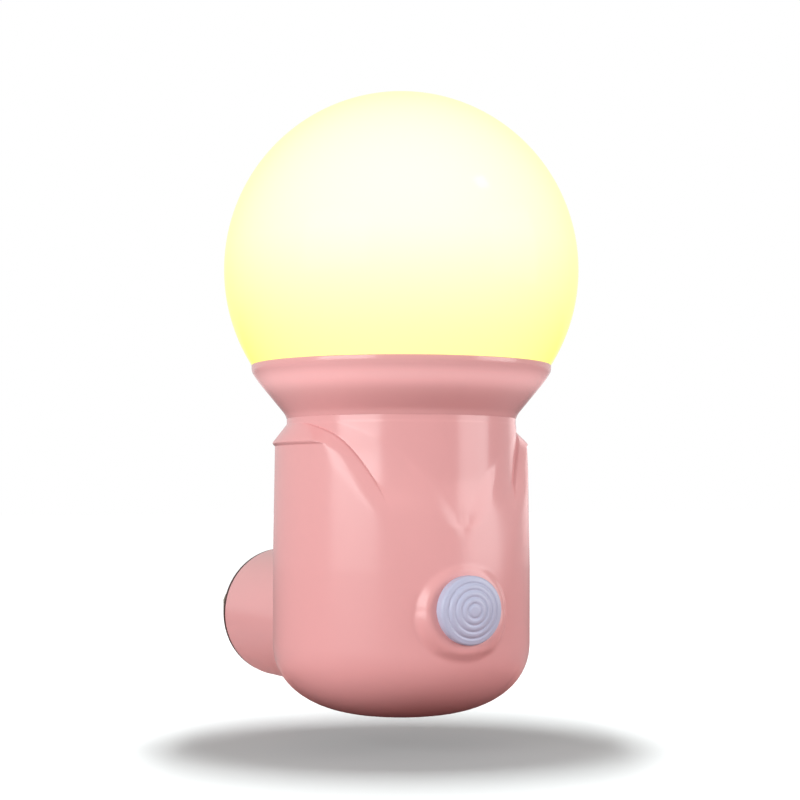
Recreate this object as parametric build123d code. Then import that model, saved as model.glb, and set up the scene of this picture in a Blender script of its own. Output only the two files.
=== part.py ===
from build123d import *
import math
import os

# Plug-in night light: a frosted globe in a flared collar, on a cup-shaped body with a push button, carried by
# a round boss that turns on its own wall plug.
#
# Frame: the origin is the centre of the plug's wall face. +Y points into the wall, +Z is up, and +X is to the
# right of someone who faces the light. All sizes are in millimetres. "Depth" is a distance in front of the
# lamp's upright axis, towards the user.

# Stance
STANDOFF = 55.2  # wall face to the lamp's upright axis

# Cup-shaped body, heights from the boss axis
NECK_RADIUS = 21.75
COAT_THICKNESS = 2.6
SIDE_TAPER = 0.4
HEM_OVERHANG = 0.55
BODY_BOTTOM_Z = -16.0
BODY_FLAT_RADIUS = 3.4
BODY_BEND_HEIGHT = 14.1
BEND_SQUARENESS = 2.3
TAPER_START_Z = 12.0
HEM_Z = 35.3
HEM_HEIGHT = 0.7
SHOULDER_TOP_Z = 38.7
NECK_TOP_Z = 39.8
BODY_WALL = 1.8
BODY_FLOOR = 2.2
CAVITY_FLAT_RADIUS = 2.0
CAVITY_BEND_HEIGHT = 11.0

# Wrapped front: two lapels that sweep down from the shoulders, and a soft vee between them
LAPEL_FRONT_ANGLE = 25.0
LAPEL_SWEEP_ANGLE = 40.0
LAPEL_SWEEP_POWER = 2.5
LAPEL_FLARE_ANGLE = 18.0
LAPEL_FLARE_POWER = 25.0
LAPEL_FOOT_Z = 5.0
VEE_BOTTOM_Z = 19.7
VEE_ANGLE = 24.0
VEE_FLARE_ANGLE = 34.0
VEE_FLARE_POWER = 5.0
VEE_DEPTH = 0.7
PANEL_FADE_Z = 12.0
RELIEF_LIFT = 0.6
PANEL_TOP_Z = 34.0
WINDOW_ROWS = 13

# Flared collar
COLLAR_HEIGHT = 10.1
COLLAR_TOP_RADIUS = 28.35
COLLAR_BULGE = 0.4
COLLAR_FLOOR = 1.8
COLLAR_FLOOR_RISE = 1.8
COLLAR_INNER_RADIUS = 22.0
COLLAR_SPIGOT_DEPTH = 3.8
COLLAR_SPIGOT_WALL = 1.6
COLLAR_WIRE_HOLE_RADIUS = 3.0
SPIGOT_CLEARANCE = 0.15

# Globe
GLOBE_RADIUS = 33.5
GLOBE_WALL = 1.5
GLOBE_SKIRT_LENGTH = 3.1
GLOBE_SOCKET_RADIUS = 24.6
GLOBE_SKIRT_CLEARANCE = 0.15
GLOBE_SKIRT_GAP = 0.3

# Light board under the globe
LED_BOARD_INSET = 6.0
LED_BOARD_THICKNESS = 1.2
LED_COUNT = 8
LED_RING_INSET = 6.0
LED_WIDTH = 2.8
LED_LENGTH = 3.5
LED_HEIGHT = 0.7
LED_SCREW_INSET = 2.7

# Button and the pad round it
BUTTON_Z = 5.0
BUTTON_RADIUS = 6.2
BUTTON_GAP = 0.25
BUTTON_RIM_HEIGHT = 2.0
BUTTON_RIM_ROUND = 0.6
BUTTON_DOME_HEIGHT = 1.1
BUTTON_TRAVEL = 1.5
BUTTON_FLANGE_RADIUS = 7.3
BUTTON_FLANGE_THICKNESS = 1.2
BUTTON_FLANGE_PLAY = 0.05
BUTTON_HUB_RADIUS = 3.2
BUTTON_POCKET_RADIUS = 5.2
BUTTON_ROOF = 2.0
GROOVE_PITCH = 1.2
GROOVE_FIRST_RADIUS = 1.3
GROOVE_COUNT = 4
GROOVE_ROUND = 0.3
GROOVE_DEPTH = 0.22
PAD_RISE = 0.15
PAD_FACE_RADIUS = 7.5
PAD_FOOT_RADIUS = 9.9
PAD_HEIGHT = 2.6
PAD_WALL = 1.9

# Driver board, upright in the cup, and the switch on its front
BOARD_FRONT_DEPTH = 9.7
BOARD_THICKNESS = 1.6
BOARD_EDGE_GAP = 1.45
BOARD_BOTTOM_Z = -7.0
BOARD_HEIGHT = 37.0
RAIL_THICKNESS = 1.1
RAIL_CLEARANCE = 0.1
RAIL_BITE = 0.9
RAIL_TOP_Z = 28.0
SWITCH_WIDTH = 8.6
SWITCH_LENGTH = 6.5
PLUNGER_WIDTH = 3.0
PLUNGER_CLEARANCE = 0.1
PLUNGER_FIT = 0.03
PLUNGER_SOCKET_DEPTH = 1.8
PLUNGER_TAIL = 3.6
HUB_STANDOFF = 0.3
SPRING_MEAN_RADIUS = 4.2
SPRING_WIRE_RADIUS = 0.22
SPRING_TURNS = 5
SPRING_END_GAP = 0.05

# Screws
PILLAR_INSET = 3.5
PILLAR_Y = 3.0
PILLAR_RADIUS = 2.8
PILLAR_GAP = 0.2
COLLAR_SCREW_RADIUS = 1.3
COLLAR_SCREW_BITE = 9.0
SMALL_SCREW_RADIUS = 0.95
SMALL_SCREW_LENGTH = 4.5
BOSS_SCREW_RADIUS = 1.3
BOSS_SCREW_OFFSET = 8.0
SCREW_CLEARANCE = 0.15
PILOT_CLEARANCE = 0.02
HEAD_RADIUS_RATIO = 1.75
HEAD_HEIGHT_RATIO = 1.2
RECESS_RATIO = 0.35

# Plug boss
BOSS_RADIUS = 13.85
BOSS_BORE_RADIUS = 11.9
BOSS_INNER_RADIUS = 10.6
BOSS_ROOT_THICKNESS = 4.0
BOSS_END_ROUND = 0.5
BOSS_WIRE_HOLE_RADIUS = 2.6
BOSS_END_GAP = 0.2

# Turning plug
DISC_LIP_RADIUS = 13.7
DISC_LIP_THICKNESS = 0.9
DISC_THICKNESS = 4.0
DISC_CLEARANCE = 0.08
STEM_RADIUS = 3.0
STEM_CLEARANCE = 0.06
HOOK_OVERHANG = 0.5
HOOK_LENGTH = 1.6
HOOK_GAP = 0.15
HOOK_SLIT = 1.0
STOP_PIN_RADIUS = 0.6
STOP_PIN_OFFSET = 4.4
STOP_GROOVE_CLEARANCE = 0.15
STOP_GROOVE_DEPTH = 0.9
SWIVEL_ANGLE = 90.0

# Flat blades
BLADE_PITCH = 12.7
BLADE_WIDTH = 6.35
BLADE_THICKNESS = 1.5
BLADE_LENGTH = 15.9
BLADE_TIP_CHAMFER = 1.4
BLADE_HOLE_RADIUS = 1.6
BLADE_HOLE_SETBACK = 4.0

# Sliding contacts between the turning plug and the lamp
TRACK_WIDTH = 1.5
TRACK_THICKNESS = 0.5
TRACK_ARC_MARGIN = 8.0
OUTER_TRACK_RADIUS = 9.0
CONTACT_ROOM = 2.5
PLATE_THICKNESS = 2.0
PLATE_CLEARANCE = 0.05
PLATE_SCREW_OFFSET = 8.6
PLATE_PILLAR_RADIUS = 2.4
FINGER_WIDTH = 1.6
FINGER_THICKNESS = 0.3
FINGER_REACH = 3.6
FINGER_FLAT = 1.2
FINGER_CURL = 0.9
FINGER_TAIL = 1.8
FINGER_GAP = 0.06

# Parts on the driver board
FILM_CAPACITOR = (13.0, 7.0, 13.0)
FILM_CAPACITOR_Z = 13.0
ELECTROLYTIC_RADIUS = 4.0
ELECTROLYTIC_LENGTH = 12.0
ELECTROLYTIC_Z = 13.0
BRIDGE = (4.7, 1.6, 3.9)
CHIP = (5.0, 1.5, 3.9)
CHIP_ROW_Z = 22.0
CHIP_LEG = (0.4, 0.6, 0.9)
CHIP_LEG_PITCH = 1.27
FUSE_RADIUS = 1.75
FUSE_LENGTH = 9.0
BLEED_RADIUS = 1.1
BLEED_LENGTH = 6.0
BLEED_PITCH = 3.6
RESISTOR_Z = 0.0
LEG_RADIUS = 0.3
LEG_REACH = 1.0
LEG_CLEARANCE = 0.5

# Wires
WIRE_RADIUS = 0.65
WIRE_PAIR_HALF = 1.1
MAINS_PAD_X = 2.2
MAINS_PAD_Z = -3.0
LED_PAD_Z = 26.0
WIRE_BEND_RADIUS = 2.5

# Values worked out from the ones above
AXIS_Y = -STANDOFF
BODY_RADIUS = NECK_RADIUS + COAT_THICKNESS
SHOULDER_RADIUS = BODY_RADIUS - SIDE_TAPER
CAVITY_RADIUS = NECK_RADIUS - BODY_WALL
CAVITY_FLOOR_Z = BODY_BOTTOM_Z + BODY_FLOOR
HEM_RADIUS = SHOULDER_RADIUS + HEM_OVERHANG
COLLAR_TOP_Z = NECK_TOP_Z + COLLAR_HEIGHT
COLLAR_FLOOR_BOTTOM_Z = NECK_TOP_Z + COLLAR_FLOOR_RISE
COLLAR_FLOOR_TOP_Z = COLLAR_FLOOR_BOTTOM_Z + COLLAR_FLOOR
SPIGOT_RADIUS = CAVITY_RADIUS - SPIGOT_CLEARANCE
SPIGOT_BOTTOM_Z = NECK_TOP_Z - COLLAR_SPIGOT_DEPTH
GLOBE_CENTRE_Z = COLLAR_TOP_Z + math.sqrt(GLOBE_RADIUS**2 - COLLAR_TOP_RADIUS**2)
GLOBE_SKIRT_BOTTOM_Z = COLLAR_TOP_Z - GLOBE_SKIRT_LENGTH
PAD_DEPTH = BODY_RADIUS + PAD_RISE
BUTTON_SEAT_DEPTH = PAD_DEPTH - PAD_WALL
BUTTON_FLANGE_FRONT = BUTTON_SEAT_DEPTH - BUTTON_FLANGE_PLAY
BUTTON_FLANGE_BACK = BUTTON_FLANGE_FRONT - BUTTON_FLANGE_THICKNESS
BUTTON_RIM_DEPTH = PAD_DEPTH + BUTTON_RIM_HEIGHT
BUTTON_POCKET_DEPTH = BUTTON_RIM_DEPTH - BUTTON_ROOF
SWITCH_FRONT_DEPTH = BOARD_FRONT_DEPTH + SWITCH_LENGTH
HUB_END_DEPTH = SWITCH_FRONT_DEPTH + BUTTON_TRAVEL + HUB_STANDOFF
BOARD_REAR_DEPTH = BOARD_FRONT_DEPTH - BOARD_THICKNESS
BOARD_REAR_Y = AXIS_Y - BOARD_REAR_DEPTH
BOARD_FRONT_Y = AXIS_Y - BOARD_FRONT_DEPTH
BOARD_WIDTH = 2 * (math.sqrt(CAVITY_RADIUS**2 - BOARD_FRONT_DEPTH**2) - BOARD_EDGE_GAP)
PART_COLUMN_X = BOARD_WIDTH / 4
PILLAR_X = CAVITY_RADIUS - PILLAR_INSET
LED_BOARD_RADIUS = CAVITY_RADIUS - LED_BOARD_INSET
LED_RING_RADIUS = LED_BOARD_RADIUS - LED_RING_INSET
LED_SCREW_OFFSET = LED_BOARD_RADIUS - LED_SCREW_INSET
PILLAR_TOP_Z = SPIGOT_BOTTOM_Z - PILLAR_GAP
BOSS_ROOT_DEPTH = BODY_RADIUS + BOSS_ROOT_THICKNESS
BOSS_ROOT_Y = AXIS_Y + BOSS_ROOT_DEPTH
BOSS_END_Y = -DISC_LIP_THICKNESS - BOSS_END_GAP
TRACK_FACE_Y = -DISC_THICKNESS - TRACK_THICKNESS
PLATE_FRONT_Y = TRACK_FACE_Y - CONTACT_ROOM
PLATE_BACK_Y = PLATE_FRONT_Y - PLATE_THICKNESS
INNER_TRACK_RADIUS = BLADE_PITCH / 2


def smooth_step(share):
    """An S-shaped rise from 0 to 1 as share goes from 0 to 1."""
    share = min(1.0, max(0.0, share))
    return share * share * (3 - 2 * share)


def lathe(outline, axis):
    """Turn a closed outline about an axis."""
    return revolve(make_face(outline), axis)


def upright_tube(outer, inner, low, high):
    """A tube about the Z axis from height low to height high; an inner radius of 0 leaves it solid."""
    tube = Pos(0, 0, (low + high) / 2) * Cylinder(outer, high - low)
    if inner:
        tube -= Pos(0, 0, (low + high) / 2) * Cylinder(inner, high - low)
    return tube


def level_rod(radius, start_y, end_y, x=0.0, z=0.0):
    """A rod along Y between two y positions."""
    return Pos(x, (start_y + end_y) / 2, z) * Rot(90, 0, 0) * Cylinder(radius, abs(end_y - start_y))


def block(low, high):
    """A box between two corners."""
    size = [b - a for a, b in zip(low, high)]
    centre = [(a + b) / 2 for a, b in zip(low, high)]
    return Pos(*centre) * Box(*size)


def in_front(depth):
    """The y position of a depth in front of the lamp axis."""
    return AXIS_Y - depth


def cup_bend(radius, floor_z, width, height):
    """The rounded corner of a cup's outline, from its flat bottom to its straight side."""
    share = math.cos(math.pi / 4) ** (2 / BEND_SQUARENESS)
    start = (radius - width, floor_z)
    middle = (radius - width * (1 - share), floor_z + height * (1 - share))
    end = (radius, floor_z + height)
    return Spline(start, middle, end, tangents=[(1, 0), (0, 1)])


def cup_solid():
    """The cup's outside before its front is shaped: bend, slight taper, overhanging hem, shoulder and neck."""
    bend = cup_bend(BODY_RADIUS, BODY_BOTTOM_Z, BODY_RADIUS - BODY_FLAT_RADIUS, BODY_BEND_HEIGHT)
    side = Polyline(
        bend @ 1,
        (BODY_RADIUS, TAPER_START_Z),
        (SHOULDER_RADIUS, HEM_Z - HEM_HEIGHT),
        (HEM_RADIUS, HEM_Z),
        (NECK_RADIUS, SHOULDER_TOP_Z),
        (NECK_RADIUS, NECK_TOP_Z),
        (0, NECK_TOP_Z),
        (0, BODY_BOTTOM_Z),
        bend @ 0,
    )
    return Pos(0, AXIS_Y, 0) * lathe(Plane.XZ * (bend + side), Axis.Z)


def side_radius(z):
    """Radius of the cup's tapered side at a height."""
    share = min(1.0, max(0.0, (z - TAPER_START_Z) / (HEM_Z - TAPER_START_Z)))
    return BODY_RADIUS + (SHOULDER_RADIUS - BODY_RADIUS) * share


def panel_radius(z):
    """Radius of the front panel: the side low down, easing in to the neck at the top."""
    rise = smooth_step((z - PANEL_FADE_Z) / (PANEL_TOP_Z - PANEL_FADE_Z))
    lift = RELIEF_LIFT * max(0.0, 1 - (z - PANEL_FADE_Z + BODY_WALL) / BODY_WALL / 2)
    full = side_radius(z)
    return full - (full - NECK_RADIUS) * rise + lift


def air_ring(line, low_z, high_z):
    """Everything outside a turned line, between two heights, on the lamp axis."""
    far = BODY_RADIUS + 2 * BODY_WALL
    rest = Polyline(line @ 1, (far, high_z), (far, low_z), line @ 0)
    return Pos(0, AXIS_Y, 0) * lathe(Plane.XZ * (line + rest), Axis.Z)


def front_window(edge_angle, low_z, high_z):
    """A prism along Y, as wide at each height as an edge that is given by its angle round the cup."""
    right = []
    for row in range(WINDOW_ROWS):
        share = row / (WINDOW_ROWS - 1)
        z = low_z + (high_z - low_z) * share
        right.append((BODY_RADIUS * math.sin(math.radians(edge_angle(share))), z))
    left = [(-x, z) for x, z in right]
    edges = Spline(*right) + Line(right[-1], left[-1]) + Spline(*left)
    if right[0][0] > 0:
        edges += Line(left[0], right[0])
    window = make_face(Plane.XZ * edges)
    return Pos(0, AXIS_Y, 0) * extrude(window, amount=2 * BODY_RADIUS)


def lapel_angle(share):
    """Angle of a lapel's edge round the cup, from its foot to the shoulder."""
    sweep = LAPEL_SWEEP_ANGLE * share**LAPEL_SWEEP_POWER
    return LAPEL_FRONT_ANGLE + sweep + LAPEL_FLARE_ANGLE * share**LAPEL_FLARE_POWER


def vee_angle(share):
    """Angle of the vee's edge round the cup, from its point to the shoulder."""
    return VEE_ANGLE * math.sqrt(share) + VEE_FLARE_ANGLE * share**VEE_FLARE_POWER


def lapel_cutter():
    """The air between the lapels, down to the front panel."""
    low = PANEL_FADE_Z - BODY_WALL
    steps = [low + (PANEL_TOP_Z - low) * row / (WINDOW_ROWS - 1) for row in range(WINDOW_ROWS)]
    curve = Spline(*[(panel_radius(z), z) for z in steps])
    line = curve + Line(curve @ 1, (NECK_RADIUS, NECK_TOP_Z + BODY_WALL))
    return air_ring(line, low, NECK_TOP_Z + BODY_WALL) & front_window(lapel_angle, LAPEL_FOOT_Z, SHOULDER_TOP_Z)


def vee_cutter():
    """The air in the vee: a shallow step into the panel that runs out where the panel meets the neck."""
    low = VEE_BOTTOM_Z - BODY_WALL
    high = NECK_TOP_Z + BODY_WALL
    shelf_z = (PANEL_FADE_Z + 2 * PANEL_TOP_Z) / 3
    line = Polyline((panel_radius(low) - VEE_DEPTH, low), (NECK_RADIUS, shelf_z), (NECK_RADIUS, high))
    return air_ring(line, low, high) & front_window(vee_angle, VEE_BOTTOM_Z, SHOULDER_TOP_Z)


def cavity_solid():
    """The cup's plain round inside, which a straight core can leave through the neck."""
    bend = cup_bend(CAVITY_RADIUS, CAVITY_FLOOR_Z, CAVITY_RADIUS - CAVITY_FLAT_RADIUS, CAVITY_BEND_HEIGHT)
    side = Polyline(
        bend @ 1,
        (CAVITY_RADIUS, NECK_TOP_Z + BODY_WALL),
        (0, NECK_TOP_Z + BODY_WALL),
        (0, CAVITY_FLOOR_Z),
        bend @ 0,
    )
    return Pos(0, AXIS_Y, 0) * lathe(Plane.XZ * (bend + side), Axis.Z)


def button_pad():
    """The raised round pad that the button comes out of."""
    pad = Pos(0, in_front(PAD_DEPTH - PAD_HEIGHT / 2), BUTTON_Z) * Rot(90, 0, 0)
    return pad * Cone(PAD_FOOT_RADIUS, PAD_FACE_RADIUS, PAD_HEIGHT)


def board_rails():
    """Two upright grooves inside the cup that the driver board slides down into."""
    inner_x = BOARD_WIDTH / 2 - RAIL_BITE
    outer_x = CAVITY_RADIUS + BODY_WALL / 2
    rear_faces = (BOARD_FRONT_DEPTH + RAIL_CLEARANCE, BOARD_REAR_DEPTH - RAIL_CLEARANCE - RAIL_THICKNESS)
    rails = []
    for depth in rear_faces:
        for low_x, high_x in ((-outer_x, -inner_x), (inner_x, outer_x)):
            low = (low_x, in_front(depth + RAIL_THICKNESS), CAVITY_FLOOR_Z)
            high = (high_x, in_front(depth), RAIL_TOP_Z)
            rails.append(block(low, high))
    return rails


def pillar_places():
    """Centres of the two screw pillars that hold the collar."""
    return [(-PILLAR_X, AXIS_Y + PILLAR_Y), (PILLAR_X, AXIS_Y + PILLAR_Y)]


def body_shell():
    """The cup: one moulding with its lapels, button pad, board rails and screw pillars."""
    shell = cup_solid() - vee_cutter() - lapel_cutter() + button_pad()
    shell -= cavity_solid()
    inside = Pos(0, AXIS_Y, 0) * upright_tube(CAVITY_RADIUS + BODY_WALL / 2, 0, CAVITY_FLOOR_Z, NECK_TOP_Z)
    inside &= cup_solid()
    for rail in board_rails():
        shell += rail & inside
    for x, y in pillar_places():
        pillar = Pos(x, y, 0) * upright_tube(PILLAR_RADIUS, 0, CAVITY_FLOOR_Z, PILLAR_TOP_Z)
        shell += pillar & inside
        pilot_bottom = PILLAR_TOP_Z - COLLAR_SCREW_BITE - PILOT_CLEARANCE
        shell -= Pos(x, y, 0) * upright_tube(COLLAR_SCREW_RADIUS + PILOT_CLEARANCE, 0, pilot_bottom, NECK_TOP_Z)
    flange_room = BUTTON_FLANGE_RADIUS + BUTTON_GAP
    shell -= level_rod(flange_room, in_front(BUTTON_SEAT_DEPTH), AXIS_Y - BOARD_FRONT_DEPTH, z=BUTTON_Z)
    hole = BUTTON_RADIUS + BUTTON_GAP
    shell -= level_rod(hole, in_front(BUTTON_RIM_DEPTH), AXIS_Y - BOARD_FRONT_DEPTH, z=BUTTON_Z)
    rear_wall_y = AXIS_Y + BODY_RADIUS + BODY_WALL
    shell -= level_rod(BOSS_WIRE_HOLE_RADIUS, AXIS_Y, rear_wall_y)
    for x in (-BOSS_SCREW_OFFSET, BOSS_SCREW_OFFSET):
        shell -= level_rod(BOSS_SCREW_RADIUS + PILOT_CLEARANCE, AXIS_Y, rear_wall_y, x=x)
    return shell


def collar_ring():
    """The flared collar: globe seat, floor for the light board, spigot into the neck and two screw tubes."""
    chord_middle = Vector((NECK_RADIUS + COLLAR_TOP_RADIUS) / 2, (NECK_TOP_Z + COLLAR_TOP_Z) / 2)
    outward = Vector(COLLAR_HEIGHT, NECK_RADIUS - COLLAR_TOP_RADIUS).normalized()
    bulge = chord_middle + outward * COLLAR_BULGE
    flare = ThreePointArc((NECK_RADIUS, NECK_TOP_Z), (bulge.X, bulge.Y), (COLLAR_TOP_RADIUS, COLLAR_TOP_Z))
    socket_bottom_z = GLOBE_SKIRT_BOTTOM_Z - GLOBE_SKIRT_GAP
    inside = Polyline(
        flare @ 1,
        (GLOBE_SOCKET_RADIUS, COLLAR_TOP_Z),
        (GLOBE_SOCKET_RADIUS, socket_bottom_z),
        (COLLAR_INNER_RADIUS, socket_bottom_z),
        (COLLAR_INNER_RADIUS, COLLAR_FLOOR_TOP_Z),
        (COLLAR_WIRE_HOLE_RADIUS, COLLAR_FLOOR_TOP_Z),
        (COLLAR_WIRE_HOLE_RADIUS, COLLAR_FLOOR_BOTTOM_Z),
        (SPIGOT_RADIUS - COLLAR_SPIGOT_WALL, COLLAR_FLOOR_BOTTOM_Z),
        (SPIGOT_RADIUS - COLLAR_SPIGOT_WALL, SPIGOT_BOTTOM_Z),
        (SPIGOT_RADIUS, SPIGOT_BOTTOM_Z),
        (SPIGOT_RADIUS, NECK_TOP_Z),
        flare @ 0,
    )
    collar = Pos(0, AXIS_Y, 0) * lathe(Plane.XZ * (flare + inside), Axis.Z)
    within = Pos(0, AXIS_Y, 0) * upright_tube(SPIGOT_RADIUS, 0, SPIGOT_BOTTOM_Z, COLLAR_FLOOR_TOP_Z)
    for x, y in pillar_places():
        tube = Pos(x, y, 0) * upright_tube(PILLAR_RADIUS, 0, SPIGOT_BOTTOM_Z, COLLAR_FLOOR_TOP_Z)
        collar += tube & within
        hole_radius = COLLAR_SCREW_RADIUS + SCREW_CLEARANCE
        collar -= Pos(x, y, 0) * upright_tube(hole_radius, 0, SPIGOT_BOTTOM_Z - 1, COLLAR_FLOOR_TOP_Z + 1)
    for y in (-LED_SCREW_OFFSET, LED_SCREW_OFFSET):
        pilot = upright_tube(SMALL_SCREW_RADIUS + PILOT_CLEARANCE, 0, COLLAR_FLOOR_BOTTOM_Z - 1, COLLAR_TOP_Z)
        collar -= Pos(0, AXIS_Y + y, 0) * pilot
    return collar


def globe_diffuser():
    """The hollow frosted globe, with a short skirt that drops into the collar's socket."""
    inner = GLOBE_RADIUS - GLOBE_WALL
    skirt_radius = GLOBE_SOCKET_RADIUS - GLOBE_SKIRT_CLEARANCE
    skirt_inner = skirt_radius - GLOBE_WALL
    floor_z = COLLAR_TOP_Z + GLOBE_WALL
    inner_edge = math.sqrt(inner**2 - (GLOBE_CENTRE_Z - floor_z) ** 2)
    seat_swing = math.degrees(math.atan2(COLLAR_TOP_Z - GLOBE_CENTRE_Z, COLLAR_TOP_RADIUS))
    inner_swing = math.degrees(math.atan2(floor_z - GLOBE_CENTRE_Z, inner_edge))
    outside = CenterArc((0, GLOBE_CENTRE_Z), GLOBE_RADIUS, 90, seat_swing - 90)
    skirt = Polyline(
        outside @ 1,
        (skirt_radius, COLLAR_TOP_Z),
        (skirt_radius, GLOBE_SKIRT_BOTTOM_Z),
        (skirt_inner, GLOBE_SKIRT_BOTTOM_Z),
        (skirt_inner, floor_z),
        (inner_edge, floor_z),
    )
    inside = CenterArc((0, GLOBE_CENTRE_Z), inner, inner_swing, 90 - inner_swing)
    crown = Line(inside @ 1, outside @ 0)
    return Pos(0, AXIS_Y, 0) * lathe(Plane.XZ * (outside + skirt + inside + crown), Axis.Z)


def upright_screw(radius, length, x, y, seat_z):
    """A pan-head screw pointing down, with its head's underside at a height and a cross recess."""
    head_radius = radius * HEAD_RADIUS_RATIO
    head_height = radius * HEAD_HEIGHT_RATIO
    screw = upright_tube(head_radius, 0, seat_z, seat_z + head_height)
    screw += upright_tube(radius, 0, seat_z - length, seat_z)
    recess = radius * RECESS_RATIO
    for width, depth in ((head_radius, recess), (recess, head_radius)):
        low = (-width / 2, -depth / 2, seat_z + head_height / 2)
        high = (width / 2, depth / 2, seat_z + head_height)
        screw -= block(low, high)
    return Pos(x, y, 0) * screw


def level_screw(radius, length, x, z, seat_y):
    """The same screw driven towards the user, with its head on the wall side of a seat."""
    return Pos(x, seat_y, z) * Rot(-90, 0, 0) * upright_screw(radius, length, 0, 0, 0)


def led_board():
    """The round board under the globe."""
    top = COLLAR_FLOOR_TOP_Z + LED_BOARD_THICKNESS
    board = Pos(0, AXIS_Y, 0) * upright_tube(LED_BOARD_RADIUS, 0, COLLAR_FLOOR_TOP_Z, top)
    for y in (-LED_SCREW_OFFSET, LED_SCREW_OFFSET):
        hole = upright_tube(SMALL_SCREW_RADIUS + SCREW_CLEARANCE, 0, COLLAR_FLOOR_TOP_Z - 1, top + 1)
        board -= Pos(0, AXIS_Y + y, 0) * hole
    return board


def led_chips():
    """The ring of light-emitting chips on the board."""
    top = COLLAR_FLOOR_TOP_Z + LED_BOARD_THICKNESS
    chip = block(
        (LED_RING_RADIUS - LED_LENGTH / 2, -LED_WIDTH / 2, top),
        (LED_RING_RADIUS + LED_LENGTH / 2, LED_WIDTH / 2, top + LED_HEIGHT),
    )
    turn = 360 / LED_COUNT
    return [Pos(0, AXIS_Y, 0) * Rot(0, 0, turn * (index + 0.5)) * chip for index in range(LED_COUNT)]


def led_board_screws():
    """Two small screws that hold the light board to the collar's floor."""
    seat_z = COLLAR_FLOOR_TOP_Z + LED_BOARD_THICKNESS
    ys = (AXIS_Y - LED_SCREW_OFFSET, AXIS_Y + LED_SCREW_OFFSET)
    return [upright_screw(SMALL_SCREW_RADIUS, SMALL_SCREW_LENGTH, 0, y, seat_z) for y in ys]


def collar_screws():
    """Two long screws from the collar's floor into the body's pillars."""
    length = COLLAR_FLOOR_TOP_Z - PILLAR_TOP_Z + COLLAR_SCREW_BITE
    return [upright_screw(COLLAR_SCREW_RADIUS, length, x, y, COLLAR_FLOOR_TOP_Z) for x, y in pillar_places()]


def button_cap():
    """The domed push button, with ring grooves in its face, a flange behind the wall and a hub."""
    dome_edge = BUTTON_RADIUS - BUTTON_RIM_ROUND
    rim_depth = BUTTON_RIM_DEPTH - BUTTON_RIM_ROUND
    round_share = BUTTON_RIM_ROUND * (1 - math.sqrt(0.5))
    rim = ThreePointArc(
        (BUTTON_RADIUS, rim_depth),
        (BUTTON_RADIUS - round_share, BUTTON_RIM_DEPTH - round_share),
        (dome_edge, BUTTON_RIM_DEPTH),
    )
    dome_radius = (dome_edge**2 + BUTTON_DOME_HEIGHT**2) / (2 * BUTTON_DOME_HEIGHT)
    dome_centre = BUTTON_RIM_DEPTH + BUTTON_DOME_HEIGHT - dome_radius
    dome_middle = dome_edge / 2
    dome = ThreePointArc(
        (dome_edge, BUTTON_RIM_DEPTH),
        (dome_middle, dome_centre + math.sqrt(dome_radius**2 - dome_middle**2)),
        (0, BUTTON_RIM_DEPTH + BUTTON_DOME_HEIGHT),
    )
    back = Polyline(
        dome @ 1,
        (0, HUB_END_DEPTH),
        (BUTTON_HUB_RADIUS, HUB_END_DEPTH),
        (BUTTON_HUB_RADIUS, BUTTON_POCKET_DEPTH),
        (BUTTON_POCKET_RADIUS, BUTTON_POCKET_DEPTH),
        (BUTTON_POCKET_RADIUS, BUTTON_FLANGE_BACK),
        (BUTTON_FLANGE_RADIUS, BUTTON_FLANGE_BACK),
        (BUTTON_FLANGE_RADIUS, BUTTON_FLANGE_FRONT),
        (BUTTON_RADIUS, BUTTON_FLANGE_FRONT),
        rim @ 0,
    )
    cap = lathe(rim + dome + back, Axis.Y)
    for index in range(GROOVE_COUNT):
        ring = GROOVE_FIRST_RADIUS + index * GROOVE_PITCH
        surface = dome_centre + math.sqrt(dome_radius**2 - ring**2)
        height = surface + GROOVE_ROUND - GROOVE_DEPTH
        cap -= Pos(0, height, 0) * Rot(90, 0, 0) * Torus(ring, GROOVE_ROUND)
    socket = PLUNGER_WIDTH / 2 + PLUNGER_FIT
    cap -= block((-socket, HUB_END_DEPTH - 1, -socket), (socket, HUB_END_DEPTH + PLUNGER_SOCKET_DEPTH, socket))
    return Pos(0, AXIS_Y, BUTTON_Z) * Rot(0, 0, 180) * cap


def switch_plunger():
    """The switch's square plunger, which sits in the button's hub."""
    half = PLUNGER_WIDTH / 2
    front = HUB_END_DEPTH + PLUNGER_SOCKET_DEPTH - PLUNGER_FIT
    back = SWITCH_FRONT_DEPTH - PLUNGER_TAIL
    low = (-half, in_front(front), BUTTON_Z - half)
    high = (half, in_front(back), BUTTON_Z + half)
    return block(low, high)


def push_switch():
    """The switch's housing on the driver board, bored for its plunger."""
    half = SWITCH_WIDTH / 2
    body = block((-half, in_front(SWITCH_FRONT_DEPTH), BUTTON_Z - half), (half, BOARD_FRONT_Y, BUTTON_Z + half))
    bore = PLUNGER_WIDTH / 2 + PLUNGER_CLEARANCE
    bore_end = SWITCH_FRONT_DEPTH - PLUNGER_TAIL - BUTTON_TRAVEL - PLUNGER_CLEARANCE
    low = (-bore, in_front(SWITCH_FRONT_DEPTH + 1), BUTTON_Z - bore)
    high = (bore, in_front(bore_end), BUTTON_Z + bore)
    return body - block(low, high)


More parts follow.
